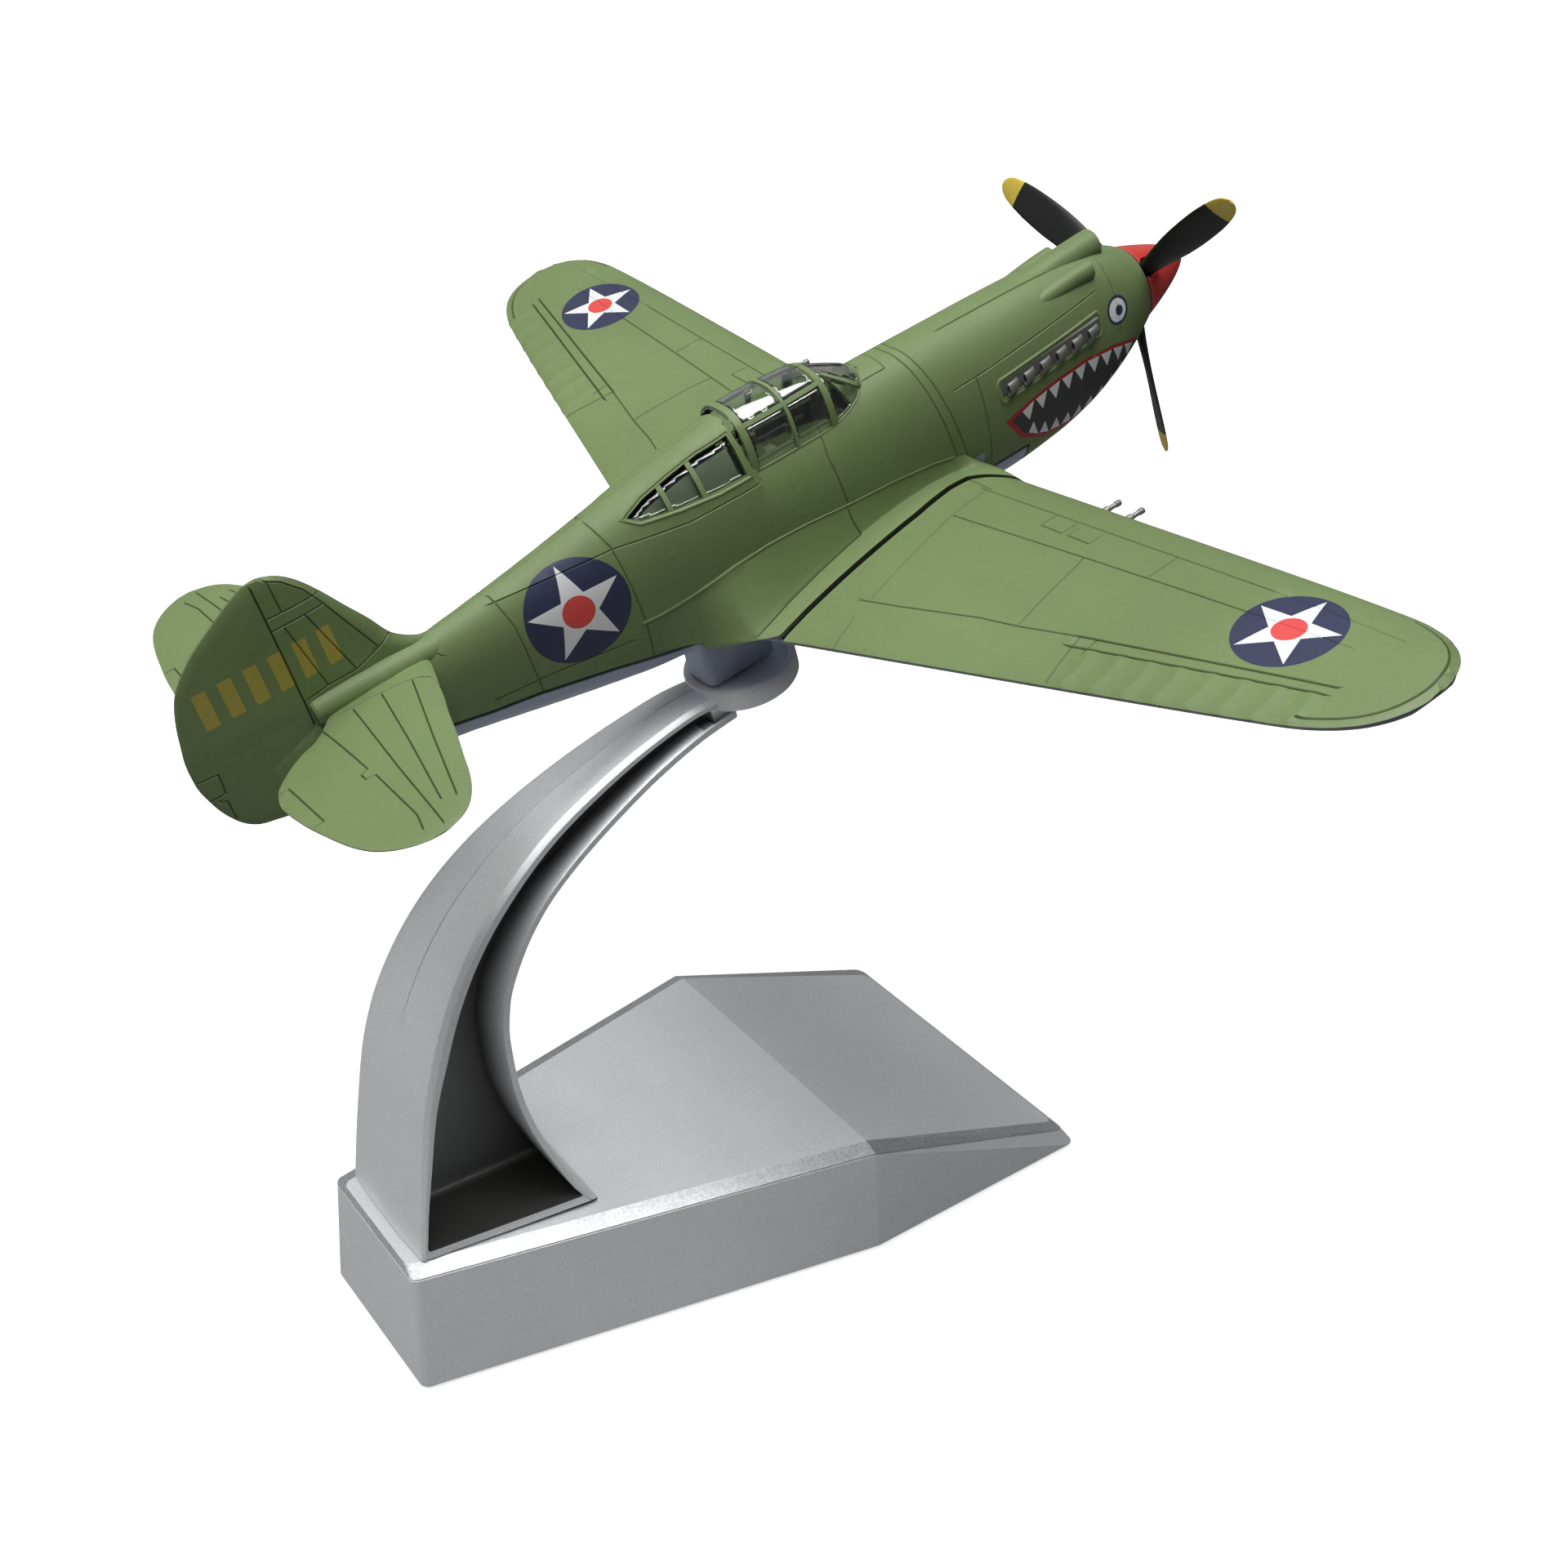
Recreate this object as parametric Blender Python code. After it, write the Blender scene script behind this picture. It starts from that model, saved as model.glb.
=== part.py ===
"""Desk model of a single-engine propeller fighter, lifted nose-up on a cast, curved-arm stand.

The world frame has its origin at the centre of the base's underside, +Z up, the nose towards -Y.
Aircraft pieces are drawn in the aircraft's own frame: origin on the thrust line in the plane of the
propeller blades, X along the span, Y aft, Z up. The empty aircraft_frame carries that frame.
All numbers below are millimetres and degrees; meshes are scaled to metres as they are made.
"""
import math

import bmesh
import bpy
from mathutils import Matrix, Vector

MM = 0.001
GAP = 0.3

# Pose of the aircraft over the base
PITCH = 15.4
HUB_Y = -67.2
HUB_Z = 112.2

# Fuselage stations: y, half width, top, bottom, height of the widest point
STATIONS = (
    (2.6, 5.0, 5.6, -5.8, 0.0),
    (4.5, 5.6, 6.7, -8.2, -0.6),
    (7.5, 6.1, 7.7, -10.4, -1.4),
    (12.0, 6.5, 8.3, -12.2, -2.2),
    (18.0, 6.8, 8.7, -13.2, -2.6),
    (26.0, 6.9, 8.9, -13.5, -2.6),
    (34.0, 6.9, 9.0, -13.2, -2.2),
    (44.0, 6.8, 9.1, -12.8, -1.6),
    (53.0, 6.6, 9.0, -12.6, -1.0),
    (60.6, 6.4, 9.0, -12.4, -0.4),
    (61.2, 6.4, 12.3, -12.4, -0.4),
    (68.0, 6.0, 11.3, -12.1, 0.0),
    (76.0, 5.4, 9.9, -11.3, 0.2),
    (84.0, 4.6, 8.5, -9.5, 0.4),
    (92.0, 3.7, 7.3, -7.9, 0.6),
    (100.0, 2.9, 6.3, -6.5, 0.9),
    (108.0, 2.1, 5.4, -5.4, 1.2),
    (115.0, 1.3, 4.4, -4.6, 1.2),
    (121.0, 0.7, 3.0, -3.6, 0.8),
)
SECTION_POINTS = 28

# Wing planform and thickness
SEMI_SPAN = 79.3
WING_LE = 30.7
WING_LE_SLOPE = 0.027
WING_TE = 71.2
WING_TE_SLOPE = -0.288
TIP_MIDDLE = 40.8
TIP_START_LE = 60.0
TIP_START_TE = 62.0
WING_Z = -10.6
DIHEDRAL_SLOPE = 0.125
INCIDENCE_SLOPE = -0.024
INCIDENCE_MIDDLE = 50.0
ROOT_THICKNESS = 5.6
THICKNESS_TAPER = 0.05
EDGE_HALF = 0.25
UNDERSIDE_INSET = 0.5

# Root fillet: (y, outer edge x) of its seam with the wing, and (y, height) of its upper crease
FILLET_EDGE = (
    (31.0, 13.2), (32.4, 11.6), (34.2, 9.7), (35.8, 8.3), (38.8, 8.5), (44.8, 9.6),
    (50.4, 10.7), (56.5, 12.3), (62.4, 14.0), (66.8, 15.5), (69.6, 16.4), (71.4, 12.0), (72.8, 7.2),
)
FILLET_CREASE = (
    (31.0, -7.6), (34.2, -4.6), (38.0, -3.4), (44.0, -2.4), (52.0, -1.5), (65.0, -1.0), (72.8, -3.4),
)

# Fin and rudder: (height, leading edge y, trailing edge y, half thickness)
FIN_ROWS = (
    (-4.5, 119.0, 122.0, 0.35), (-3.6, 117.0, 124.7, 0.5), (-2.0, 114.0, 126.3, 0.65),
    (1.0, 110.0, 127.7, 0.8), (4.4, 106.0, 128.4, 0.9), (7.2, 102.0, 128.3, 1.0),
    (8.6, 103.9, 128.0, 0.95), (11.2, 105.7, 127.4, 0.9), (14.0, 107.5, 126.3, 0.82),
    (17.0, 109.4, 123.4, 0.72), (19.2, 111.1, 119.8, 0.6), (20.6, 112.8, 117.2, 0.45),
    (21.1, 114.0, 116.0, 0.3),
)

# Tailplane: (x, leading edge y, trailing edge y)
TAIL_ROWS = (
    (2.9, 102.2, 114.8), (4.9, 102.8, 116.8), (5.9, 103.1, 118.9), (7.7, 103.7, 121.3), (10.1, 104.4, 123.3),
    (13.0, 105.4, 124.1), (17.0, 106.6, 123.8), (21.5, 108.1, 123.0), (24.8, 109.2, 122.2),
    (27.2, 110.3, 121.2), (29.0, 111.5, 119.8), (30.2, 112.9, 118.2), (30.9, 114.6, 116.6),
)
TAIL_Z = 4.3
TAIL_SLOPE = 0.08

# Canopy: y, half width at the sill, sill height, top height
CANOPY_ROWS = (
    (42.6, 1.0, 8.7, 9.3), (43.6, 2.6, 7.9, 9.8), (45.4, 3.8, 6.9, 10.6), (47.6, 4.35, 6.2, 11.6),
    (50.0, 4.6, 5.8, 12.5), (54.0, 4.65, 5.8, 12.8), (57.0, 4.65, 5.8, 12.9), (60.25, 4.6, 5.8, 12.8),
)
COCKPIT_FRONT = 46.4
COCKPIT_REAR = 60.2
COCKPIT_HALF = 3.3
COCKPIT_FLOOR = 2.0

# Propeller
BLADE_RADIUS = 23.35
BLADE_ANGLES = (22.0, 142.0, 262.0)
SPINNER_BASE = 5.0
SPINNER_REAR = 0.9
SPINNER_TIP = -8.8
HUB_RADIUS = 2.6
SHAFT_RADIUS = 0.8

# Stand
BASE_REAR = 46.4
BASE_FRONT = -46.4
RIDGE_Y = -12.6
REAR_HALF = 12.1
RIDGE_HALF = 24.4
FRONT_HALF = 24.3
REAR_HEIGHT = 16.0
RIDGE_HEIGHT = 15.0
FRONT_HEIGHT = 1.6
BASE_LIFT = 0.3
BASE_CHAMFER = 1.3
BASE_DRAFT = 1.2
BASE_WALL = 2.2

# Arm, from the foot up: rear edge (y, z), front edge (y, z), half width at the rear and at the front
ARM_ROWS = (
    ((43.9, 16.4), (20.8, 16.4), 9.3, 12.0),
    ((43.6, 19.0), (23.0, 19.0), 9.2, 11.2),
    ((43.1, 23.5), (25.2, 23.5), 9.0, 10.2),
    ((42.3, 29.5), (27.6, 29.5), 8.6, 9.0),
    ((41.2, 36.5), (29.1, 36.5), 8.2, 8.4),
    ((39.4, 43.0), (29.4, 42.0), 7.8, 7.9),
    ((36.7, 49.3), (28.6, 46.6), 7.0, 7.0),
    ((32.8, 55.4), (26.2, 51.6), 6.0, 6.0),
    ((27.8, 60.8), (22.6, 56.4), 5.1, 5.1),
    ((21.8, 65.4), (17.7, 60.9), 4.3, 4.3),
    ((15.0, 69.2), (11.9, 65.0), 3.7, 3.7),
    ((7.6, 72.3), (5.6, 68.6), 3.3, 3.3),
    ((0.6, 74.6), (-0.8, 71.3), 3.0, 3.0),
    ((-4.6, 75.4), (-5.4, 72.4), 2.9, 2.9),
)
FLANGE_REAR = 1.8
FLANGE_FRONT = 1.4
WEB_HALF = 0.8
FOOT_THICKNESS = 1.5
DISC_Y = 66.5
DISC_Z = -18.0
DISC_RADIUS = 6.8
DISC_THICKNESS = 2.0
PEG_RADIUS = 1.5
PEG_HEIGHT = 4.0
BLOCK_HALF = 4.3
BLOCK_FRONT = 60.6
BLOCK_REAR = 72.6
SCREW_SPOTS = ((0.0, 26.6), (0.0, 37.4))
BELLY_SCREWS = (46.5, 55.5)


def clear_scene():
    for old in list(bpy.data.objects):
        bpy.data.objects.remove(old, do_unlink=True)


def material(name, colour, roughness, metallic=0.0):
    """A Principled material of one colour."""
    made = bpy.data.materials.new(name)
    made.use_nodes = True
    shader = made.node_tree.nodes["Principled BSDF"]
    shader.inputs["Base Color"].default_value = (*colour, 1.0)
    shader.inputs["Roughness"].default_value = roughness
    shader.inputs["Metallic"].default_value = metallic
    return made


def empty(name, location, rotation, parent=None):
    """An axes empty in millimetres and degrees."""
    made = bpy.data.objects.new(name, None)
    bpy.context.scene.collection.objects.link(made)
    made.location = Vector(location) * MM
    made.rotation_euler = [math.radians(angle) for angle in rotation]
    made.parent = parent
    return made


def solid(name, points, faces, look=None, parent=None, smooth=True):
    """A mesh object from points in millimetres. Face directions are made to point out."""
    mesh = bpy.data.meshes.new(name)
    mesh.from_pydata([Vector(point) * MM for point in points], [], faces)
    work = bmesh.new()
    work.from_mesh(mesh)
    bmesh.ops.recalc_face_normals(work, faces=work.faces)
    work.to_mesh(mesh)
    work.free()
    made = bpy.data.objects.new(name, mesh)
    bpy.context.scene.collection.objects.link(made)
    made.parent = parent
    if look:
        mesh.materials.append(look)
    if smooth:
        mesh.shade_smooth()
        mesh.set_sharp_from_angle(angle=math.radians(35))
    return made


def loft(rings):
    """Points and faces of the skin through rings of equal length, capped at both ends."""
    count = len(rings[0])
    points = [point for ring in rings for point in ring]
    faces = []
    for row in range(len(rings) - 1):
        for column in range(count):
            after = (column + 1) % count
            low = row * count
            high = low + count
            faces.append((low + column, low + after, high + after, high + column))
    faces.append(tuple(range(count)))
    faces.append(tuple((len(rings) - 1) * count + column for column in range(count)))
    return points, faces


def prism(outline, low, high, axis="z"):
    """Points and faces of an outline pushed from low to high along an axis."""
    def place(first, second, depth):
        if axis == "z":
            return (first, second, depth)
        if axis == "x":
            return (depth, first, second)
        return (first, depth, second)
    return loft([[place(a, b, low) for a, b in outline], [place(a, b, high) for a, b in outline]])


def box(low, high):
    outline = [(low[0], low[1]), (high[0], low[1]), (high[0], high[1]), (low[0], high[1])]
    return prism(outline, low[2], high[2])


def turned(profile, sides, centre=(0.0, 0.0), axis="y"):
    """A solid of revolution from (radius, distance) pairs along the axis, both ends capped."""
    rings = []
    for radius, distance in profile:
        ring = []
        for step in range(sides):
            angle = math.tau * step / sides
            first = centre[0] + radius * math.cos(angle)
            second = centre[1] + radius * math.sin(angle)
            ring.append((first, distance, second) if axis == "y" else (first, second, distance))
        rings.append(ring)
    return loft(rings)


def along(rows, value, column):
    """Smooth value of one column of a table, by monotone cubic interpolation on column 0."""
    if value <= rows[0][0]:
        return rows[0][column]
    if value >= rows[-1][0]:
        return rows[-1][column]
    index = max(number for number in range(len(rows) - 1) if rows[number][0] <= value)
    gaps = [rows[n + 1][0] - rows[n][0] for n in range(len(rows) - 1)]
    slopes = [(rows[n + 1][column] - rows[n][column]) / gaps[n] for n in range(len(rows) - 1)]

    def tangent(n):
        if n == 0:
            return slopes[0]
        if n == len(rows) - 1:
            return slopes[-1]
        if slopes[n - 1] * slopes[n] <= 0:
            return 0.0
        return 2 * slopes[n - 1] * slopes[n] / (slopes[n - 1] + slopes[n])

    span = gaps[index]
    part = (value - rows[index][0]) / span
    start, end = rows[index][column], rows[index + 1][column]
    lean_in, lean_out = tangent(index) * span, tangent(index + 1) * span
    return (
        (2 * part**3 - 3 * part**2 + 1) * start
        + (part**3 - 2 * part**2 + part) * lean_in
        + (3 * part**2 - 2 * part**3) * end
        + (part**3 - part**2) * lean_out
    )


def combine(target, cutter, operation):
    """Applies one exact Boolean and removes the helper."""
    step = target.modifiers.new(operation.lower(), "BOOLEAN")
    step.operation = operation
    step.solver = "EXACT"
    step.object = cutter
    bpy.context.view_layer.update()
    graph = bpy.context.evaluated_depsgraph_get()
    result = bpy.data.meshes.new_from_object(target.evaluated_get(graph))
    target.modifiers.clear()
    target.data = result
    bpy.data.objects.remove(cutter, do_unlink=True)
    return target


def cut(target, shape):
    return combine(target, solid("cutter", *shape), "DIFFERENCE")


def keep(target, shape):
    return combine(target, solid("cutter", *shape), "INTERSECT")


def join(target, shape):
    return combine(target, solid("helper", *shape), "UNION")


def finish(made, parent, look):
    """Cleans a cut mesh, gives it its material and parent, and shades it."""
    work = bmesh.new()
    work.from_mesh(made.data)
    bmesh.ops.dissolve_degenerate(work, edges=work.edges, dist=0.000004)
    bmesh.ops.triangulate(work, faces=work.faces)
    work.to_mesh(made.data)
    work.free()
    made.data.materials.clear()
    made.data.materials.append(look)
    made.data.shade_smooth()
    made.data.set_sharp_from_angle(angle=math.radians(35))
    made.parent = parent
    return made


def section(y, inset=0.0, top=None, bottom=None):
    """One closed fuselage section at station y, pulled in by inset."""
    half = along(STATIONS, y, 1) - inset
    crown = (along(STATIONS, y, 2) if top is None else top) - inset
    keel = (along(STATIONS, y, 3) if bottom is None else bottom) + inset
    waist = min(along(STATIONS, y, 4), crown - 0.4)
    ring = []
    for step in range(SECTION_POINTS):
        angle = math.tau * step / SECTION_POINTS
        across = math.cos(angle)
        rise = math.sin(angle)
        fullness = 0.96 if rise > 0 else 0.86
        x = half * math.copysign(abs(across) ** fullness, across)
        reach = crown - waist if rise > 0 else waist - keel
        ring.append((x, y, waist + reach * math.copysign(abs(rise) ** fullness, rise)))
    return ring


def fuselage_hull():
    """The whole outer body, nose ring to tail post."""
    places = [2.6, 3.4, 4.5, 6.0, 8.0, 11.0, 15.0, 20.0, 27.0, 34.0, 42.0, 50.0, 57.0, 60.6, 61.2]
    places += [64.5, 68.0, 72.0, 76.0, 80.0, 84.0, 88.0, 92.0, 96.0, 100.0, 104.0, 108.0, 112.0, 116.5, 121.0]
    return loft([section(y) for y in places])


def hollow():
    """The cavity inside the body, open below, with a flat ceiling under the cockpit."""
    rings = []
    for y in (10.0, 16.0, 24.0, 33.0, 42.0, 44.0, 62.0, 64.0, 72.0, 80.0, 88.0, 95.0):
        half = along(STATIONS, y, 1) - 1.5
        crown = 0.9 if 42.5 < y < 63.0 else along(STATIONS, y, 2) - 3.0
        keel = -40.0 if y > 24.5 else along(STATIONS, y, 3) + 1.8
        floor = along(STATIONS, y, 3) + 1.8 if y > 24.5 else keel
        rings.append(
            [(-half * 0.8, y, floor), (half * 0.8, y, floor), (half, y, 0.0), (half * 0.55, y, crown),
             (-half * 0.55, y, crown), (-half, y, 0.0)]
        )
    return loft(rings)


def split_height(x, y):
    """Height of the joint face between the upper castings and the underside."""
    return WING_Z + DIHEDRAL_SLOPE * abs(x) + INCIDENCE_SLOPE * (y - INCIDENCE_MIDDLE)


def leading(x):
    line = WING_LE + WING_LE_SLOPE * x
    if x <= TIP_START_LE:
        return line
    part = min((x - TIP_START_LE) / (SEMI_SPAN + 0.05 - TIP_START_LE), 1.0)
    return TIP_MIDDLE - (TIP_MIDDLE - line) * (1 - part**3) ** (1 / 3)


def trailing(x):
    line = WING_TE + WING_TE_SLOPE * x
    if x <= TIP_START_TE:
        return line
    part = min((x - TIP_START_TE) / (SEMI_SPAN + 0.05 - TIP_START_TE), 1.0)
    return TIP_MIDDLE + (line - TIP_MIDDLE) * (1 - part**4) ** 0.25


def foil(part):
    """Thickness along the chord as a share of the greatest thickness, 0 to 1."""
    part = min(max(part, 0.0), 1.0)
    rise = 0.2969 * math.sqrt(part) - 0.126 * part
    return 10 * (rise - 0.3516 * part**2 + 0.2843 * part**3 - 0.1015 * part**4)


def wing_thickness(x):
    outboard = max(x - TIP_START_TE, 0.0) / (SEMI_SPAN + 1.5 - TIP_START_TE)
    fade = math.sqrt(max(1 - outboard**3, 0.0))
    return (ROOT_THICKNESS - THICKNESS_TAPER * x) * fade


def wing_panel(side, upper, inner_x, inset):
    """Half of the wing's thickness on one side of the joint face, from inner_x to the tip."""
    spans = [inner_x, 14.0, 20.0, 28.0, 36.0, 44.0, 52.0, 60.0, 65.0, 69.0, 72.5, 75.2, 77.2, 78.4, 79.0]
    spans = [x for x in spans if x == inner_x or x > inner_x + 1.0]
    spans = [x for x in spans if x <= SEMI_SPAN - inset - 0.2]
    chords = [0.0, 0.012, 0.04, 0.09, 0.17, 0.28, 0.4, 0.55, 0.7, 0.85, 1.0]
    rings = []
    for x in spans:
        front, back = leading(x) + inset, trailing(x) - inset
        depth = wing_thickness(x) * (0.58 if upper else -0.42)
        edge = EDGE_HALF if upper else -EDGE_HALF - 0.05
        shift = 0.0 if upper else -GAP
        joint, skin = [], []
        for part in chords:
            y = front + (back - front) * part
            base = split_height(x, y)
            joint.append((side * x, y, base + shift))
            skin.append((side * x, y, base + shift + edge + depth * foil(part)))
        rings.append(joint + skin[::-1])
    return loft(rings)


def fillet_edge(y):
    """Outer x of the fillet at y, as straight runs between its corner points."""
    for (y0, x0), (y1, x1) in zip(FILLET_EDGE, FILLET_EDGE[1:]):
        if y <= y1:
            return x0 + (x1 - x0) * max(y - y0, 0.0) / (y1 - y0)
    return FILLET_EDGE[-1][1]


def wing_top(x, y):
    part = (y - leading(x)) / (trailing(x) - leading(x))
    return split_height(x, y) + EDGE_HALF + 0.58 * wing_thickness(x) * foil(part)


def fillet(side):
    """Concave fairing between the body's side and the wing, with its own small leading edge."""
    rings = []
    for y in (31.0, 31.7, 32.8, 34.3, 35.8, 38.8, 44.8, 50.4, 56.5, 62.4, 66.8, 69.6, 71.4, 72.8):
        outer = fillet_edge(y)
        inner = 5.2
        crease = along(FILLET_CREASE, y, 1)
        low = split_height(2.0, y)
        ring = [(side * 2.0, y, low), (side * 2.0, y, max(crease - 1.0, low + 1.2))]
        for step in range(6):
            part = step / 5
            x = inner + (outer - inner) * part
            skin = max(wing_top(x, y), split_height(x, y) + 0.5) + 0.15
            ring.append((side * x, y, skin + max(crease - skin, 0.0) * (1 - part) ** 2.2))
        ring.append((side * outer, y, split_height(outer, y)))
        rings.append(ring)
    return loft(rings)


def root_cutter(side):
    """Plan outline of everything inboard of the wing's root joint."""
    outline = [(0.0, 20.0), (side * (FILLET_EDGE[0][1] + GAP), 20.0)]
    outline += [(side * (x + GAP), y) for y, x in FILLET_EDGE[:11]]
    outline += [(side * (FILLET_EDGE[10][1] + GAP), 90.0), (0.0, 90.0)]
    return prism(outline, -30.0, 30.0)


def fin():
    """Fin and rudder in one, rounded at the leading edge."""
    rings = []
    for height, front, back, half in FIN_ROWS:
        ring = []
        for part, share in ((0.0, 0.25), (0.06, 0.75), (0.25, 1.0), (0.55, 0.9), (1.0, 0.32)):
            ring.append((half * share, front + (back - front) * part, height))
        for part, share in ((1.0, 0.32), (0.55, 0.9), (0.25, 1.0), (0.06, 0.75), (0.0, 0.25)):
            ring.append((-half * share, front + (back - front) * part, height))
        rings.append(ring)
    return loft(rings)


def tube_fairing(x, z, radius, front, back, sink):
    """A rounded fairing on the cowling that sinks into it towards the rear."""
    rings = []
    for part in (0.0, 0.06, 0.3, 0.6, 0.85, 1.0):
        y = front + (back - front) * part
        drop = sink * part**1.6
        size = radius * (0.86 if part == 0.0 else 1.0)
        lean = x * (1 - 0.12 * part)
        rings.append(
            [(lean + size * math.cos(math.tau * n / 10), y, z - drop + size * math.sin(math.tau * n / 10)) for n in range(10)]
        )
    return loft(rings)


def exhaust_pocket(side):
    outline = [(11.0, -0.1), (11.0, 2.5), (27.4, 1.5), (27.4, -1.1)]
    return prism(outline, side * 5.4, side * 9.0, "x")


def lower_cutter():
    """Everything below the joint: chin, wing centre and rear belly, each a little wider than the body."""
    shapes = [
        box((-20.0, 24.0, -30.0), (20.0, 31.2, -9.0)),
    ]
    outline = [
        (72.6, -30.0), (72.6, -10.2), (83.6, -7.6), (92.4, -5.9), (97.5, -5.1), (103.2, -4.3), (103.2, -30.0),
    ]
    shapes.append(prism(outline, -20.0, 20.0, "x"))
    return shapes


def centre_cutter(gap, side):
    """The space below the joint face between the wing's leading and trailing edges, on one side."""
    rings = []
    for y in (30.9 - gap, 72.7 + gap):
        rings.append(
            [(0.0 - side * 0.01, y, -30.0), (side * 20.0, y, -30.0), (side * 20.0, y, split_height(20.0, y) - gap),
             (0.0 - side * 0.01, y, split_height(0.0, y) - gap)]
        )
    return loft(rings)


def make_fuselage(parent, look):
    body = solid("fuselage_upper", *fuselage_hull())
    body = join(body, fin())
    for side in (-1, 1):
        body = join(body, fillet(side))
        body = join(body, tube_fairing(side * 3.3, 6.6, 1.35, 9.2, 30.0, 2.2))
    body = join(body, tube_fairing(0.0, 7.6, 1.7, 5.6, 28.0, 1.9))
    for shape in lower_cutter():
        body = cut(body, shape)
    for side in (-1, 1):
        body = cut(body, centre_cutter(0.0, side))
    body = cut(body, hollow())
    body = cut(body, box((-COCKPIT_HALF, COCKPIT_FRONT, COCKPIT_FLOOR), (COCKPIT_HALF, COCKPIT_REAR, 20.0)))
    body = cut(body, turned([(1.9 + GAP, 2.0), (1.9 + GAP, 12.0)], 16))
    for side in (-1, 1):
        body = cut(body, exhaust_pocket(side))
    for y in BELLY_SCREWS:
        body = join(body, turned([(2.6, split_height(0.0, y) + 0.5), (2.6, 1.3)], 14, (0.0, y), "z"))
        body = cut(body, turned([(0.8 + GAP, -14.0), (0.8 + GAP, -2.0)], 10, (0.0, y), "z"))
    return finish(body, parent, look)


def make_lower_fuselage(parent, look):
    chin = solid("chin_panel", *fuselage_hull())
    chin = keep(chin, box((-20.0, 24.0 + GAP, -30.0), (20.0, 30.9 - 2 * GAP, -9.0 - GAP)))
    finish(chin, parent, look)
    rear = solid("rear_belly_shell", *fuselage_hull())
    outline = [
        (72.7 + 3 * GAP, -30.0), (72.7 + 3 * GAP, -10.5), (83.6, -7.9), (92.4, -6.2), (97.5, -5.4),
        (102.9, -4.6), (102.9, -30.0),
    ]
    rear = keep(rear, prism(outline, -20.0, 20.0, "x"))
    return finish(rear, parent, look)


def make_underside(parent, look):
    """Wing undersides, the belly between them and the stand block, in one piece."""
    under = solid("wing_underside", *wing_panel(1, False, 4.0, UNDERSIDE_INSET))
    under = join(under, wing_panel(-1, False, 4.0, UNDERSIDE_INSET))
    belly = solid("belly", *fuselage_hull())
    wide = WING_Z + 2.5 - GAP
    middle = [(-20.0, -30.0), (20.0, -30.0), (20.0, wide), (0.0, WING_Z - GAP), (-20.0, wide)]
    rings = []
    for y in (30.9, 72.7):
        lift = INCIDENCE_SLOPE * (y - INCIDENCE_MIDDLE)
        rings.append([(x, y, z + lift if z > -29.0 else z) for x, z in middle])
    belly = keep(belly, loft(rings))
    under = combine(under, belly, "UNION")
    corner = 1.6
    outline = [
        (BLOCK_FRONT, -11.5), (BLOCK_FRONT, DISC_Z + GAP), (BLOCK_REAR - corner, DISC_Z + GAP),
        (BLOCK_REAR - 0.4, DISC_Z + GAP + corner * 0.6), (BLOCK_REAR, DISC_Z + GAP + corner * 1.4), (BLOCK_REAR, -11.5),
    ]
    under = join(under, prism(outline, -BLOCK_HALF, BLOCK_HALF, "x"))
    socket = [(PEG_RADIUS + GAP, DISC_Z - 1.0), (PEG_RADIUS + GAP, DISC_Z + PEG_HEIGHT + 2 * GAP)]
    under = cut(under, turned(socket, 16, (0.0, DISC_Y), "z"))
    for y in BELLY_SCREWS:
        under = cut(under, turned([(0.8 + GAP, -14.0), (0.8 + GAP, -8.0)], 10, (0.0, y), "z"))
        under = cut(under, turned([(1.6 + GAP, -16.0), (1.6 + GAP, -11.9)], 14, (0.0, y), "z"))
    return finish(under, parent, look)


def make_wings(parent, look):
    for side, name in ((1, "wing_upper_left"), (-1, "wing_upper_right")):
        wing = solid(name, *wing_panel(side, True, 6.0, 0.0))
        wing = cut(wing, root_cutter(side))
        finish(wing, parent, look)


def make_tailplanes(parent, look):
    for side, name in ((1, "tailplane_left"), (-1, "tailplane_right")):
        rings = []
        for x, front, back in TAIL_ROWS:
            half = 0.85 - 0.014 * x
            middle = TAIL_Z + TAIL_SLOPE * x
            top, low = [], []
            for part, share in ((0.0, 0.35), (0.08, 0.8), (0.3, 1.0), (0.6, 0.85), (1.0, 0.4)):
                y = front + (back - front) * part
                top.append((side * x, y, middle + half * share))
                low.append((side * x, y, middle - half * share))
            rings.append(top + low[::-1])
        tail = solid(name, *loft(rings))
        clear = [section(y, -GAP) for y in (98.0, 104.0, 108.0, 112.0, 116.5, 121.0)]
        tail = cut(tail, loft(clear))
        tail = cut(tail, box((-1.35, 98.0, -2.0), (1.35, 130.0, 12.0)))
        finish(tail, parent, look)


def arch(half, sill, top, thickness, y):
    """One canopy section: outer arch up one side and down the other, then the inner arch back."""
    outer, inner = [], []
    steps = 12
    for step in range(steps + 1):
        angle = math.pi * step / steps
        across, rise = math.cos(angle), math.sin(angle)
        x = math.copysign(abs(across) ** 0.8, across)
        lift = rise**0.72
        outer.append((half * x, y, sill + (top - sill) * lift))
        inner.append(((half - thickness) * x, y, sill + (top - thickness - sill) * lift))
    return outer + inner[::-1]


def make_canopy(parent, look):
    rings = [arch(half, sill, top, 0.55, y) for y, half, sill, top in CANOPY_ROWS]
    canopy = solid("canopy", *loft(rings))
    clear = [section(y, -GAP) for y in (34.0, 42.0, 50.0, 57.0, 60.6)]
    canopy = cut(canopy, loft(clear))
    finish(canopy, parent, look)


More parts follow.
